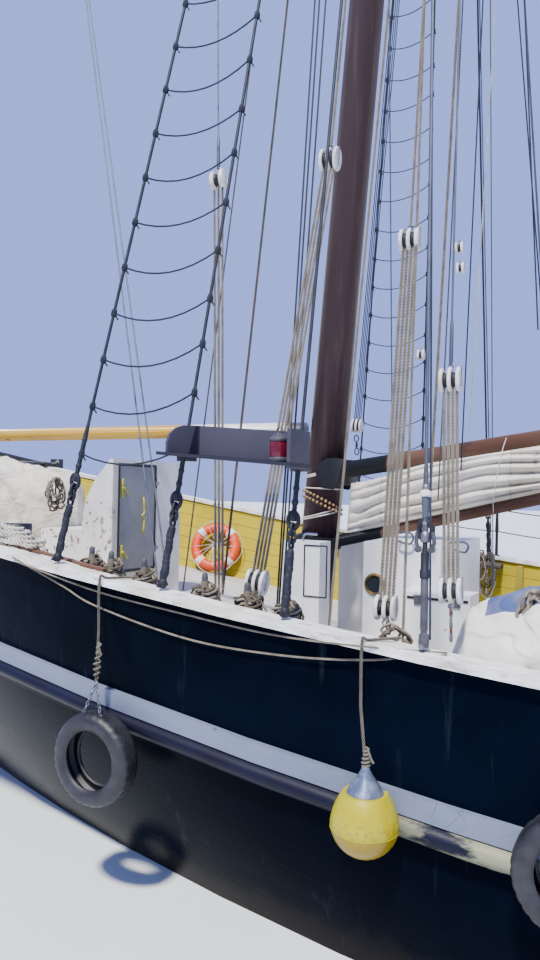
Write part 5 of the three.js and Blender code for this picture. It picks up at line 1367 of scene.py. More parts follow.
# Running rigging: where each line crosses the picture settles where it runs
def beside(pixel, a, b):
    """The point behind a pixel that is nearest to the line from a to b."""
    ray, way = sight(pixel).normalized(), (b - a).normalized()
    start = CAMERA_AT - a
    along = ray.dot(way)
    reach = (along * start.dot(way) - start.dot(ray)) / (1 - along * along)
    return CAMERA_AT + ray * reach


# Rows of (share of the gap, share of the block's height) of a grooved sheave
SHEAVE = ((0.03, 0.33), (0.3, 0.29), (0.7, 0.29), (0.97, 0.33))


def rope_block(piece, middle, way, width, height, sheaves, hung=True):
    """A wooden block: oval cheeks with grooved sheaves between them, iron straps, and a shackle at an end."""
    across = (ALONG - way * way.x).normalized()
    deep = way.cross(across)
    cheeks = sheaves + 1
    cheek = width / (cheeks + sheaves * 1.2)
    gap = cheek * 1.2
    for k in range(cheeks):
        at_side = -width / 2 + k * (cheek + gap)
        outline = []
        for j in range(20):
            t = 2 * math.pi * j / 20
            outline.append(middle + across * at_side + way * (math.sin(t) * height / 2)
                           + deep * (math.copysign(abs(math.cos(t)) ** 0.8, math.cos(t)) * height * 0.36))
        piece.plate(outline, across * cheek, BLOCK_PAINT, cheek * 0.22)
    for k in range(sheaves):
        at_side = -width / 2 + cheek + k * (cheek + gap)
        rings = []
        for share, radius in SHEAVE:
            centre = middle + across * (at_side + gap * share)
            rings.append(circle(centre, deep, way, height * radius, height * radius, 18))
        piece.loft(rings, GASKET)
    piece.tube([middle - across * width * 0.53, middle + across * width * 0.53], height * 0.05, STEEL, 8)
    for side in (-1, 1):
        strap = [middle + across * (side * width * 0.51) + way * (height * s) for s in (-0.3, 0.0, 0.52)]
        piece.tube(strap, width * 0.035, STEEL, 6)
    eye = middle + way * height * (0.58 if hung else -0.58)
    piece.ring(eye, deep, height * 0.1, height * 0.032, STEEL, 14, 6)


FALLS_WIDE = 0.62
# A wire pendant's servings. Rows of (distance along it, radius), as far as the plain wire.
PENDANT = ((0, 0.008), (0.02, 0.013), (0.24, 0.012), (0.30, 0.0065))


def tackle(name, foot, low_block, high_block, head, falls, rope, width, height, pendant):
    """Two blocks with rope rove between them, on a pendant from aloft. A fall may have no lower block."""
    blocks = Piece(name + "_blocks")
    lower = foot
    if low_block:
        lower = beside(low_block, foot, head)
        way = (high_block - lower).normalized()
        rope_block(blocks, lower, way, width, height, max(1, falls // 2), hung=False)
        lower = lower + way * height * 0.2
    way = (high_block - lower).normalized()
    rope_block(blocks, high_block, (head - high_block).normalized(), width, height, max(1, falls // 2))
    blocks.made(30)
    across = (ALONG - way * way.x).normalized()
    spread = width * FALLS_WIDE / max(1, falls - 1)
    paths = []
    for k in range(falls):
        off = across * (-width * FALLS_WIDE / 2 + spread * k)
        paths.append([lower + off * (1.0 if low_block else 0.8), high_block - way * height * 0.25 + off])
    laid_rope(name + "_falls", paths, rope)
    up = (head - high_block).normalized()
    top = high_block + up * height * 0.6
    if pendant:
        laid_rope(name + "_pendant", [[top, head]], pendant)
        return
    wire = Piece(name + "_pendant")
    path = [top + up * along for along, _ in PENDANT] + [head]
    wire.tube(path, [radius for _, radius in PENDANT] + [PENDANT[-1][1]], WIRE, 8)
    wire.made()


MAST_SIDE_Y = -0.24
ALOFT_Z = 17.9
# Columns: name, foot pixel, foot y, lower block pixel, upper block pixel, head pixel, falls, rope, width and
# height of a block, and the pendant's diameter (0 for wire)
TACKLES = (
    ("peak_fall", (219, 590), -2.55, None, (218.5, 180), (217.9, 0), 3, 0.022, 0.115, 0.150, 0.0),
    ("throat_fall", (262, 604), -2.60, (257, 582), (330, 160), (345.8, 0), 4, 0.023, 0.130, 0.170, 0.024),
    ("vang_fall", (389, 632), -2.55, (386, 608), (410, 240), (424.0, 0), 4, 0.027, 0.130, 0.155, 0.022),
    ("boom_lift_fall", (451, 640), -2.72, (451, 591), (450.5, 380), (452.5, 300), 4, 0.024, 0.125, 0.15, 0.0),
)
for name, foot_pixel, foot_y, low, high, head_pixel, falls, rope, width, height, pendant in TACKLES:
    foot = seen(foot_pixel, y=foot_y)
    guess = line_aloft(foot, head_pixel, MAST_SIDE_Y, ALOFT_Z)
    upper = beside(high, foot, guess)
    head = line_aloft(upper, head_pixel, MAST_SIDE_Y, ALOFT_Z)
    tackle(name, foot, low, upper, head, falls, rope, width, height, pendant)
    if low:
        lower = beside(low, foot, head)
        link = Piece(name + "_shackle")
        way = (lower - foot).normalized()
        links = max(2, round((lower - foot).length / 0.045))
        for k in range(links):
            axis = way.cross(UP if k % 2 else ACROSS)
            here = foot.lerp(lower - way * height * 0.5, (k + 0.5) / links)
            link.ring(here, axis, 0.017, 0.0065, RUSTY if k % 3 == 1 else STEEL, 12, 6, (1, LINK_LONG))
        link.made(50)

# Single lines. Columns: name, foot pixel, foot y, pixel higher up, y and z where it ends aloft, diameter,
# laid rope or wire
SINGLE_LINES = (
    ("staysail_halyard", (183, 590), -2.55, (258.7, 0), -0.24, 17.6, 0.014, COIL_STRAND),
    ("foresail_halyard", (222.5, 594), -2.55, (287.9, 0), -0.24, 17.8, 0.022, COIL_STRAND),
    ("topsail_sheet_1", (277, 604), -2.50, (315.0, 0), -0.25, 18.6, 0.0, TAR),
    ("topsail_sheet_2", (279, 605), -2.50, (319.5, 0), -0.22, 18.6, 0.0, TAR),
    ("topsail_sheet_3", (282, 606), -2.48, (325.8, 0), -0.18, 18.6, 0.0, TAR),
    ("jib_downhaul_1", (157, 575), -2.55, (86.0, 0), -0.30, 12.5, 0.0, WIRE),
    ("jib_downhaul_2", (167, 577), -2.55, (89.0, 0), -0.30, 12.5, 0.0, WIRE),
    ("mast_whip", (329, 625), -2.45, (389.4, 0), -0.20, 18.0, 0.022, STRAND),
    ("gaff_span", (402.7, 645), -2.60, (419.5, 150), -0.24, 17.9, 0.023, STRAND),
    ("boom_topping_lift", (429, 512), -0.95, (459.0, 0), -0.24, 18.2, 0.030, STRAND),
    ("boom_topping_wire", (438, 500), -0.80, (463.0, 0), -0.22, 18.2, 0.0, WIRE),
    ("aft_shroud_tail", (430, 640), -2.70, (432.5, 0), -0.26, 17.6, 0.0, WIRE),
    ("flag_line_1", (492, 585), 1.9, (479.6, 0), 0.30, 17.0, 0.0, WIRE),
    ("flag_line_2", (493, 588), 2.0, (490.4, 0), 0.28, 17.0, 0.0, WIRE),
    ("peak_whip", (461, 470), -0.25, (483.0, 0), -0.12, 17.4, 0.0, TAR),
    ("peak_halyard", (469, 440), -0.10, (495.7, 0), -0.10, 17.6, 0.013, WHITE_STRAND),
    ("spring_whip_1", (541, 300), -0.60, (517.5, 0), -0.15, 18.2, 0.0, TAR),
    ("spring_whip_2", (538, 330), -0.50, (524.4, 0), -0.12, 18.2, 0.0, TAR),
    ("thin_fall", (392.4, 470), -0.35, (390.0, 124), -0.22, 17.6, 0.0, WIRE),
)
THIN_LINE = 0.0065
thin_lines = Piece("thin_lines")
for name, foot_pixel, foot_y, head_pixel, head_y, head_z, rope, finish in SINGLE_LINES:
    foot = seen(foot_pixel, y=foot_y)
    head = line_aloft(foot, head_pixel, head_y, head_z)
    if rope:
        laid_rope(name, [[foot, head]], rope, finish)
    else:
        thin_lines.tube([foot, head], THIN_LINE, finish, 6)

# The gaff's throat halyard: a double block on a hook, with thin falls that lead aloft abaft the mast
THROAT_HOOK_PIXEL, THROAT_BLOCK_PIXEL, THROAT_HEAD_PIXEL = (357, 456), (357, 426), (396, 0)
THROAT_LINKS = (0.022, 0.017, 0.022)
THROAT_FALLS, THROAT_GAP, THROAT_LINE = 5, 0.016, 0.0045
throat = seen(THROAT_HOOK_PIXEL, y=-0.02)
throat_block = seen(THROAT_BLOCK_PIXEL, y=-0.05)
throat_head = line_aloft(throat_block, THROAT_HEAD_PIXEL, -0.05, 18.3)
throat_gear = Piece("throat_block")
way = (throat_head - throat_block).normalized()
rope_block(throat_gear, throat_block, way, 0.10, 0.135, 2)
for k, size in enumerate(THROAT_LINKS):
    here = throat.lerp(throat_block - way * 0.08, 0.2 + 0.3 * k)
    throat_gear.ring(here, ALONG if k % 2 else ACROSS, size, 0.006, TAR, 14, 6, (1, LINK_LONG))
throat_gear.made(30)
for k in range(THROAT_FALLS):
    off = ALONG * (THROAT_GAP * (k - THROAT_FALLS // 2))
    thin_lines.tube([throat_block + off, throat_head + off * 1.5], THROAT_LINE, TAR, 6)
thin_lines.made()

# Coils and turns on the belaying pins, worked out for each pin
PIN_X = (-5.51, -5.33, -5.03, -4.52, -4.19, -3.90)
PIN_INSET = 0.335
# Rows of (height above the rail cap, radius)
PIN_ROWS = ((-0.06, 0.016), (-0.02, 0.018), (0.02, 0.015), (0.06, 0.018), (0.095, 0.022), (0.125, 0.018),
            (0.135, 0.007))
BELAY_TURNS, BELAY_RISE, BELAY_ROPE, BELAY_WIDE = 6, 0.016, 0.0095, 0.062
coils = Piece("belayed_coils")
pins = Piece("pin_handles", slot="black_paint")


def hank(piece, at, wide, tall, turns, thick, along, out, finishes, seed):
    """Slack loops of one rope hung from a point: wide and tall are their half width and their drop."""
    dice = random.Random(seed)
    for turn in range(turns):
        half = wide * dice.uniform(0.55, 1.15)
        drop = tall * dice.uniform(0.55, 1.1)
        lean, shift = dice.uniform(-0.5, 0.5) * wide, dice.uniform(-0.25, 0.25) * wide
        lift = dice.uniform(-0.02, 0.02)
        loop = []
        for k in range(36):
            t = 2 * math.pi * k / 36
            pinch = 1 - 0.45 * math.cos(t) ** 2 * (math.cos(t) > 0)
            wobble = cloud.noise(Vector((3 * math.sin(t), 3 * math.cos(t), seed + turn * 2.7)))
            fallen = (1 - math.cos(t)) / 2
            aside = half * pinch * math.sin(t) + shift + lean * fallen + wobble * 0.25 * wide
            away = thick * (0.9 + turn * 0.8) + wobble * thick * 1.6
            loop.append(at + along * aside + out * away + UP * (lift - drop * fallen))
        piece.tube(loop, thick, finishes[turn % len(finishes)], 6, closed=True)


for side in (PORT, STARBOARD):
    for number_of, x in enumerate(PIN_X):
        edge, _, top = cap_edge(x, side)
        y = side * (abs(edge) - PIN_INSET)
        seed = 20 + number_of + (50 if side > 0 else 0)
        dice = random.Random(seed)
        foot = Vector((x, y, top))
        rod(pins, up_from(foot, UP), PIN_ROWS, GREY_IRON)
        for turn in range(BELAY_TURNS):
            rise = BELAY_RISE * turn
            wide = BELAY_WIDE + dice.uniform(-0.018, 0.03)
            loop = []
            for k in range(32):
                t = 2 * math.pi * k / 32
                wobble = cloud.noise(Vector((math.sin(t), math.cos(t), seed + turn * 1.7)))
                loop.append((x + wide * math.sin(t) + 0.02 * wobble,
                             y + 0.040 * math.sin(2 * t) + 0.02 * wobble,
                             top - 0.055 + rise + 0.016 * math.cos(t) + 0.012 * wobble))
            coils.tube(loop, BELAY_ROPE, (STRAND, COIL_STRAND)[turn % 2], 6, closed=True)
        hank(coils, foot + Vector((0.01, 0, 0.055)), 0.075, 0.34, 8, 0.0088, ALONG, ACROSS * -side,
             (COIL_STRAND, STRAND, COIL_STRAND), seed + 3)
        hank(coils, foot + Vector((-0.015, 0, 0.035)), 0.06, 0.16, 3, 0.0085, ALONG, ACROSS * side,
             (COIL_STRAND,), seed + 9)
pins.made(40)

# Coils that hang elsewhere: from the shackle in front, and at the foremast's foot
SHACKLE_COIL_PIXEL, AFT_COIL_PIXEL = (392, 626), (532, 592)
FAR_COIL_AT, BAG_COIL_AT = Vector((-3.735, 2.70, 2.03)), Vector((-8.12, -0.40, 2.86))
for at, wide, tall, turns, thick, along, out, finishes, seed in (
    (seen(SHACKLE_COIL_PIXEL, y=-2.60), 0.085, 0.16, 6, 0.009, RIGHT, -FORWARD, (STRAND, COIL_STRAND), 91),
    (seen(AFT_COIL_PIXEL, y=-2.45), 0.075, 0.34, 7, 0.010, RIGHT, -FORWARD, (STRAND, COIL_STRAND), 97),
    (FAR_COIL_AT, 0.09, 0.60, 8, 0.010, ALONG, -ACROSS, (COIL_STRAND, COIL_STRAND, STRAND), 71),
    (BAG_COIL_AT, 0.12, 0.36, 8, 0.011, ACROSS, ALONG, (COIL_STRAND, STRAND), 77),
):
    hank(coils, at, wide, tall, turns, thick, along, out, finishes, seed)
coils.made(60)

# Mooring rope in figure-of-eight turns round the port bollard's posts, and a coil beside it
BOLLARD_X = (-6.67, -7.25)
BOLLARD_Y = -2.2998
TURNS_Z, TURN_RISE, TURN_RADIUS, TURNS, TURN_STEPS, TURN_ROPE = 2.17, 0.045, 0.155, 3, 40, 0.05
mooring = []
for k in range(TURNS * TURN_STEPS + 1):
    t = 2 * math.pi * k / TURN_STEPS
    reach = TURN_RADIUS + 0.012 * math.sin(k * 0.21)
    x = sum(BOLLARD_X) / 2 + ((BOLLARD_X[0] - BOLLARD_X[1]) / 2 + TURN_RADIUS) * math.cos(t)
    z = TURNS_Z + TURN_RISE * k / TURN_STEPS + 0.02 * math.cos(2 * t)
    mooring.append(Vector((x, BOLLARD_Y + reach * math.sin(2 * t), z)))
laid_rope("mooring_turns", [mooring], TURN_ROPE, WHITE_STRAND, STRAND)

HEAP_X, HEAP_LONG, HEAP_WIDE, HEAP_TURNS, HEAP_STEPS, HEAP_ROPE = -6.36, 0.44, 0.085, 5, 32, 0.042
bights = []
for k in range(HEAP_TURNS * HEAP_STEPS + 1):
    turn, t = k / HEAP_STEPS, 2 * math.pi * k / HEAP_STEPS
    wobble = cloud.noise(Vector((2 * math.cos(t), 2 * math.sin(t), turn * 1.3)))
    x = HEAP_X + HEAP_LONG * (1 - 0.11 * turn) * math.cos(t) + 0.06 * wobble
    _, inner, top = cap_edge(x)
    z = top + 0.022 + 0.024 * turn + 0.012 * wobble
    bights.append(Vector((x, inner + HEAP_WIDE * math.sin(t) + 0.05 * wobble, z)))
laid_rope("mooring_heap", [bights], HEAP_ROPE, WHITE_STRAND, STRAND)

COIL_X, COIL_Y, COIL_LONG, COIL_WIDE = -6.95, -2.02, 0.20, 0.15
COIL_TURNS, COIL_STEPS, COIL_ROPE = 7, 28, 0.045
tails = []
coil_at = Vector((COIL_X, COIL_Y, deck_z(COIL_X, COIL_Y)))
for k in range(COIL_TURNS * COIL_STEPS + 1):
    t = 2 * math.pi * k / COIL_STEPS
    along = (COIL_LONG + 0.02 * math.sin(k * 0.13)) * math.cos(t)
    rise = 0.03 + COIL_ROPE * k / COIL_STEPS
    tails.append(coil_at + Vector((along, COIL_WIDE * math.sin(t), rise)))
laid_rope("mooring_coil", [tails], COIL_ROPE, WHITE_STRAND, STRAND)

# The hood door's seal, cleats and handle
DOOR_FACE, DOOR_LOW, DOOR_HIGH = -6.995, (-0.585, 1.86), (0.065, 3.02)
DOOR_CLEATS, CLEAT_Y, CLEAT_WIDE, CLEAT_STANDS = ((2.66, 2.87), (1.99, 2.15)), -0.53, 0.036, 0.045
# Rows of (distance from the door's face, y, z)
HANDLE_ROWS = ((0.002, -0.16, 2.27), (0.045, -0.20, 2.30), (0.045, -0.19, 2.43), (0.045, -0.225, 2.465),
               (0.045, -0.19, 2.50), (0.045, -0.20, 2.63), (0.002, -0.16, 2.66))
door_gear = Piece("companion_door_fittings", body="companion_door")
door_corners = (DOOR_LOW, (DOOR_HIGH[0], DOOR_LOW[1]), DOOR_HIGH, (DOOR_LOW[0], DOOR_HIGH[1]))
door_seal = [(DOOR_FACE, y, z) for y, z in door_corners]
for start, end in zip(door_seal, door_seal[1:] + door_seal[:1]):
    door_gear.tube([start, end], 0.014, GASKET, 8)
for low, high in DOOR_CLEATS:
    near, far, middle = CLEAT_Y - CLEAT_WIDE / 2, CLEAT_Y + CLEAT_WIDE / 2, (low + high) / 2
    door_gear.box((DOOR_FACE, near, low), (DOOR_FACE + 0.018, far, high), YELLOW_PAINT, 0.006)
    stub = [(DOOR_FACE, CLEAT_Y, middle), (DOOR_FACE + CLEAT_STANDS, CLEAT_Y, middle)]
    door_gear.tube(stub, 0.016, YELLOW_PAINT, 12)
    lever_x = DOOR_FACE + CLEAT_STANDS * 0.8
    lever = [(lever_x, CLEAT_Y, middle), (lever_x, CLEAT_Y + 0.07, middle - 0.07)]
    door_gear.tube(lever, 0.010, YELLOW_PAINT, 8)
handle = [(DOOR_FACE + out, y, z) for out, y, z in HANDLE_ROWS]
door_gear.tube(smooth_path(handle, 5), 0.011, YELLOW_PAINT, 8)
door_gear.made(45)

# Sidelights: a coloured drum lens between the lamp's foot and its cap. Port is red, starboard green.
LAMP_X, LAMP_OUT, LAMP_FOOT = BOARD_AFT - 0.145, BOARD_SIDE + 0.13, 2.962
LAMP_RADIUS = 0.065
# Rows of (radius, height) of the lens and its ribs
LENS_ROWS = ((0, 0.028), (0.0565, 0.028), (0.060, 0.04), (0.0575, 0.052), (0.061, 0.064), (0.0575, 0.076),
             (0.061, 0.088), (0.0575, 0.10), (0.060, 0.112), (0.0565, 0.124), (0, 0.124))
for side, glass, label in ((PORT, RED_GLASS, "port"), (STARBOARD, GREEN_GLASS, "starboard")):
    lamp = Piece("sidelight_lens_" + label)
    middle = Vector((LAMP_X, side * LAMP_OUT, LAMP_FOOT))
    lamp.turned(middle, LENS_ROWS, glass, 28)
    for foot, thick in ((0.0, 0.028), (0.124, 0.022)):
        low, high = foot + 0.001, foot + thick - 0.001
        lamp.turned(middle, [(0, low), (0.063, low), (LAMP_RADIUS, low + 0.005), (LAMP_RADIUS, high - 0.005),
                             (0.062, high), (0, high)], GREY_IRON, 28)
    lamp.ring(middle + UP * 0.19, ACROSS, 0.02, 0.004, GREY_IRON, 16, 6)
    lamp.made(40)

# Deckhouse and lockers: porthole, seals, hand rail, wire racks, and the side locker's lid
HOUSE_SIDE, LOCKER_SIDE, SIDE_LOCKER_FACE = -0.70, -0.80, -1.01
PORTHOLE, PORTHOLE_RADIUS, PORTHOLE_BOLTS = Vector((-4.03, HOUSE_SIDE, 1.975)), 0.085, 6
PANEL_LOW, PANEL_HIGH = (-4.67, 1.83), (-4.45, 2.29)
# Rows of (x, z) of the locker's hand rail
RAIL_ROWS = ((-4.70, 2.325), (-4.70, 2.37), (-4.67, 2.39), (-4.56, 2.39))
LID_FROM, LID_TO, LID_Z, LID_HINGES = -3.64, -3.14, 1.925, (-3.55, -3.23)
RACK_OUT = 0.05
house = Piece("deckhouse_fittings", slot="steel")
house.ring(PORTHOLE - ACROSS * 0.006, ACROSS, PORTHOLE_RADIUS, 0.013, BRONZE, 32, 8)
pane = circle(PORTHOLE - ACROSS * 0.001, ALONG, UP, PORTHOLE_RADIUS, PORTHOLE_RADIUS, 28)
house.plate(pane, ACROSS * -0.004, GLASS)
for k in range(PORTHOLE_BOLTS):
    a = 2 * math.pi * (k + 0.5) / PORTHOLE_BOLTS
    head = PORTHOLE + (ALONG * math.cos(a) + UP * math.sin(a)) * PORTHOLE_RADIUS - ACROSS * 0.015
    house.tube([head, head - ACROSS * 0.006], 0.006, BRONZE, 6)
panel = (PANEL_LOW, (PANEL_HIGH[0], PANEL_LOW[1]), PANEL_HIGH, (PANEL_LOW[0], PANEL_HIGH[1]))
panel = [(x, LOCKER_SIDE - 0.002, z) for x, z in panel]
for start, end in zip(panel, panel[1:] + panel[:1]):
    house.tube([start, end], 0.007, GASKET, 8)
house.tube(smooth_path([(x, LOCKER_SIDE + 0.03, z) for x, z in RAIL_ROWS], 4), 0.011, CHROME, 10)
lid_face = SIDE_LOCKER_FACE - 0.0005
house.box((LID_FROM, SIDE_LOCKER_FACE - 0.006, LID_Z), (LID_TO, lid_face, LID_Z + 0.02), GASKET, 0.002)
for x in LID_HINGES:
    hinge_face = SIDE_LOCKER_FACE - 0.012
    house.box((x - 0.03, hinge_face, LID_Z - 0.045), (x + 0.03, lid_face, LID_Z + 0.03), STEEL, 0.003)
    bolt(house, Vector((x, hinge_face, LID_Z + 0.03)), 0.032, 0.007, STEEL, way=ALONG)
# Pixels of the two wire racks on the deckhouse's side
WIRE_RACKS = (
    ((397, 532), (409, 533), (413, 536), (412.5, 541), (409, 544), (399, 541.5)),
    ((451, 543), (463, 542), (468, 545.5), (467.5, 549.5), (464, 552.5), (453, 549.5)),
)
for pixels in WIRE_RACKS:
    rack = [seen(pixel, y=HOUSE_SIDE - RACK_OUT) for pixel in pixels]
    rack = [rack[0] + ACROSS * RACK_OUT] + rack + [rack[-1] + ACROSS * RACK_OUT]
    house.tube(smooth_path(rack, 5), 0.0085, WIRE, 8)
house.made(40)

# Aft deckhouse windows: glass and wooden frames, and hand rails along its roof
CABIN_TOP, CABIN_SIDE = 2.290, 1.25
CABIN_WINDOWS, WINDOW_LONG, WINDOW_LOW, WINDOW_HIGH = (5.9, 6.8, 7.7), 0.46, -0.56, -0.22
PANE_IN, PANE_THICK, PANE_LAP, FRAME_WIDE, FRAME_THICK = 0.036, 0.006, 0.004, 0.05, 0.022
RAIL_POSTS, CABIN_RAIL_END, CABIN_RAIL_UP = (5.55, 6.35, 7.15, 7.95, 8.75), 0.10, 0.12
cabin = Piece("aft_deckhouse_fittings", slot="brown_wood")
for side in (PORT, STARBOARD):
    for x in CABIN_WINDOWS:
        to = x + WINDOW_LONG
        low, high = CABIN_TOP + WINDOW_LOW, CABIN_TOP + WINDOW_HIGH
        inner, outer = sorted((side * (CABIN_SIDE - PANE_IN), side * (CABIN_SIDE - PANE_IN + PANE_THICK)))
        pane = (x - PANE_LAP, inner, low - PANE_LAP), (to + PANE_LAP, outer, high + PANE_LAP)
        cabin.box(*pane, GLASS, 0.001)
        inner, outer = sorted((side * (CABIN_SIDE + 0.0005), side * (CABIN_SIDE + FRAME_THICK)))
        for from_x, to_x, from_z, to_z in (
            (x - FRAME_WIDE, to + FRAME_WIDE, high, high + FRAME_WIDE),
            (x - FRAME_WIDE, to + FRAME_WIDE, low - FRAME_WIDE, low),
            (x - FRAME_WIDE, x, low, high),
            (to, to + FRAME_WIDE, low, high),
        ):
            cabin.box((from_x, inner, from_z), (to_x, outer, to_z), BROWN_WOOD, 0.004)
    y = side * (CABIN_SIDE - 0.12)
    for x in RAIL_POSTS:
        cabin.tube([(x, y, CABIN_TOP + 0.045), (x, y, CABIN_TOP + 0.115)], [0.022, 0.018], BROWN_WOOD, 10)
    ends = (RAIL_POSTS[0] - CABIN_RAIL_END, RAIL_POSTS[-1] + CABIN_RAIL_END)
    cabin.tube([(x, y, CABIN_TOP + CABIN_RAIL_UP) for x in ends], 0.019, BROWN_WOOD, 10)
cabin.made(40)

# Hatch lids: two lifting rings on each, and battens across the planks
LID_TOP, BATTENS, BATTEN_ENDS, BATTEN_HALF = 1.351, (-1.15, 0.55), (0.04, 0.90), 0.045
LIFTING_RINGS, RINGS_OUT = (-0.80, 0.20), 0.48
for side, body in ((PORT, "hatch_lid_port"), (STARBOARD, "hatch_lid_starboard")):
    lid_gear = Piece(body + "_fittings", body=body)
    near, far = sorted(side * out for out in BATTEN_ENDS)
    for x in BATTENS:
        batten = (x - BATTEN_HALF, near, LID_TOP + 0.0005), (x + BATTEN_HALF, far, LID_TOP + 0.02)
        lid_gear.box(*batten, BROWN_WOOD, 0.005)
    for x in LIFTING_RINGS:
        middle = Vector((x, side * RINGS_OUT, LID_TOP + 0.006))
        lid_gear.tube([middle - UP * 0.005, middle + UP * 0.002], 0.055, BRONZE, 20)
        lid_gear.ring(middle + UP * 0.008, (0, 0.12, 1), 0.036, 0.006, BRONZE, 20, 8)
    lid_gear.made(40)

# A varnished slat along the inner edge of the port rail cap, abreast of the hood
SLAT_FROM, SLAT_TO, SLAT_STEPS, SLAT_WIDE, SLAT_THICK = -6.75, -5.30, 8, 0.04, 0.02
slat = Piece("port_cap_slat", slot="brown_wood")
rings = []
for k in range(SLAT_STEPS + 1):
    x = SLAT_FROM + (SLAT_TO - SLAT_FROM) * k / SLAT_STEPS
    _, inner, top = cap_edge(x)
    far, low, high = inner + 0.005, top + 0.001, top + SLAT_THICK
    near = far - SLAT_WIDE
    rings.append([(x, near, low), (x, far, low), (x, far, high), (x, near, high)])
slat.loft(rings, BROWN_WOOD)
slat.made(30)

# Far rail: stanchions with two lifelines over the starboard bulwark, and timbers inside both bulwarks
FAR_POSTS = (-5.35, -4.52, -3.70, -2.40, -1.10, 0.20, 1.50)
# Rows of (height up a stanchion, radius)
STANCHION = ((0, 0.045), (0.02, 0.042), (0.022, 0.020), (0.30, 0.018), (0.34, 0.024), (0.62, 0.014),
             (0.64, 0.004))
LIFELINES_UP, LIFELINE_RADIUS, LIFELINE_SAG = (0.60, 0.32), 0.007, 0.02
far_rail = Piece("far_lifelines", slot="black_paint")
post_feet = []
for x in FAR_POSTS:
    edge, _, top = cap_edge(x, STARBOARD)
    foot = Vector((x, edge - 0.12, top - 0.01))
    rod(far_rail, up_from(foot, UP), STANCHION, BLACK_PAINT, 10)
    post_feet.append(foot)
for rise in LIFELINES_UP:
    for start, end in zip(post_feet, post_feet[1:]):
        line = curve_between(start + UP * rise, end + UP * rise, LIFELINE_SAG, 8)
        far_rail.tube(line, LIFELINE_RADIUS, TAR, 6)
far_rail.made(40)

TIMBER_FIRST, TIMBER_STEP, TIMBERS = -9.9, 0.93, 22
TIMBER_WIDE, TIMBER_DEEP, TIMBER_TRIM = 0.085, 0.095, 0.006
BULWARK = solid("bulwark")
timbers = Piece("bulwark_timbers")
for side in (PORT, STARBOARD):
    for x in [TIMBER_FIRST + TIMBER_STEP * k for k in range(TIMBERS)]:
        edge, _, top = cap_edge(x, side)
        floor_hit = DECK.ray_cast(Vector((x, edge - side * 0.45, FAR_OUT)), -UP)[0]
        if floor_hit is None:
            continue
        ends = []
        for z in (top - 0.075, floor_hit.z + 0.03):
            hit = BULWARK.ray_cast(Vector((x, 0, z)), ACROSS * side)[0]
            if hit is not None:
                ends.append(hit)
        if len(ends) < 2:
            continue
        rings = []
        for share in (0.0, 0.04, 0.96, 1.0):
            face = ends[0].lerp(ends[1], share)
            trim = TIMBER_TRIM if share in (0.0, 1.0) else 0.0
            near, far = face.y - side * (TIMBER_DEEP - trim), face.y + side * 0.01
            low, high = x - TIMBER_WIDE / 2 + trim, x + TIMBER_WIDE / 2 - trim
            corners = ((low, far), (low, near), (high, near), (high, far))
            rings.append([(*corner, face.z) for corner in corners])
        timbers.loft(rings, OCHRE_PAINT)
timbers.made(30)

# Rope turns and wooden parrel beads round the foremast at the gaff's height. Columns: height, slope across
# the picture, radius of the rope
MAST_LASHINGS = ((2.985, 0.29, 0.0075), (2.965, 0.27, 0.0075), (2.805, -0.03, 0.008), (2.565, 0.29, 0.0075),
                 (2.54, 0.25, 0.007))
BEAD_ROWS, BEADS, BEADS_AWAY = ((2.69, -0.5), (2.64, -0.47)), 30, 0.215
BEAD = ((0, -0.016), (0.010, -0.013), (0.0165, 0.0), (0.010, 0.013), (0, 0.016))
parrel = Piece("mast_lashings")
for z, slope, thick in MAST_LASHINGS:
    parrel.ring((mast_x(FOREMAST_X, z), 0, z), UP - RIGHT * slope, MAST_COLLAR, thick, WHITE_STRAND, 40, 7)
for z, slope in BEAD_ROWS:
    axis = (UP - RIGHT * slope).normalized()
    one = axis.cross(ACROSS).normalized()
    for bead in circle((mast_x(FOREMAST_X, z), 0, z), one, axis.cross(one), BEADS_AWAY, BEADS_AWAY, BEADS):
        parrel.turned(bead, BEAD, BEAD_WOOD, 10)
parrel.made(60)

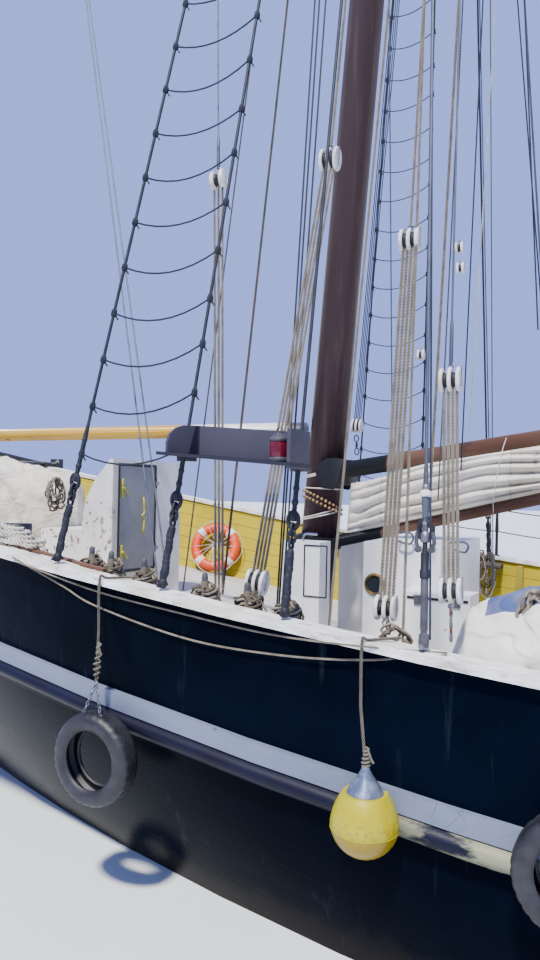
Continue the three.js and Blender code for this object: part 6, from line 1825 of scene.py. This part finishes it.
# Small blocks on the lines abaft the mast. Columns: pixel, foot pixel, foot y, head pixel, width and height
SMALL_BLOCKS = (
    ((459.6, 248), (451, 640), -2.72, (459, 0), 0.05, 0.075),
    ((460.5, 268), (451, 640), -2.72, (459, 0), 0.045, 0.07),
    ((421, 355), (389, 632), -2.55, (424, 0), 0.045, 0.07),
)
small_blocks = Piece("small_blocks")
for pixel, foot_pixel, foot_y, head_pixel, wide, tall in SMALL_BLOCKS:
    foot = seen(foot_pixel, y=foot_y)
    head = line_aloft(foot, head_pixel, MAST_SIDE_Y, ALOFT_Z)
    here = beside(pixel, foot, head)
    rope_block(small_blocks, here, (head - here).normalized(), wide, tall, 1)
small_blocks.made(30)

# Two mooring lines held along the outside of the bulwark, from the bow to the shackle abaft the fore shrouds,
# by the pixels that they cross
OUTSIDE_OFF, OUTSIDE_ROPE = 0.025, 0.015
OUTSIDE_LINES = (
    ("outside_line_high", ((20, 563), (96, 591), (180, 613), (269, 634), (358, 646), (447, 653))),
    ("outside_line_low", ((12, 557), (61, 585), (96, 606), (184, 638), (270, 654), (358, 660), (447, 655))),
)
for name, pixels in OUTSIDE_LINES:
    knots_of_path = []
    for pixel in pixels:
        ray = sight(pixel).normalized()
        hits = [tree.ray_cast(CAMERA_AT, ray) for tree in SKIN]
        near = min(hit[3] for hit in hits if hit[0] is not None)
        knots_of_path.append(CAMERA_AT + ray * (near - OUTSIDE_OFF))
    laid_rope(name, [smooth_path(knots_of_path, 10)], OUTSIDE_ROPE)

# Floor at the waterline, and light from a clear sky and a high sun over the camera's shoulder
FLOOR_HALF = 120
SKY_COLOUR, SKY_STRENGTH = "#93a8f4", 1.45
SUN_STRENGTH, SUN_SPREAD, SUN_COLOUR, SUN_WAY = 7.5, 5, (1.0, 0.97, 0.92), Vector((-0.06, 0.50, -0.86))
floor_mesh = bpy.data.meshes.new("floor")
corners = [(x * FLOOR_HALF, y * FLOOR_HALF, 0) for x, y in ((-1, -1), (1, -1), (1, 1), (-1, 1))]
floor_mesh.from_pydata(corners, [], [(0, 1, 2, 3)])
floor_mesh.materials.append(FLOOR)
put("floor", floor_mesh)

world = bpy.data.worlds.new("studio")
world.use_nodes = True
sky = world.node_tree.nodes["Background"].inputs
sky["Color"].default_value = linear(SKY_COLOUR)
sky["Strength"].default_value = SKY_STRENGTH
bpy.context.scene.world = world
sun = bpy.data.lights.new("sun", "SUN")
sun.energy = SUN_STRENGTH
sun.angle = math.radians(SUN_SPREAD)
sun.color = SUN_COLOUR
put("sun", sun).rotation_euler = SUN_WAY.to_track_quat("-Z", "Y").to_euler()
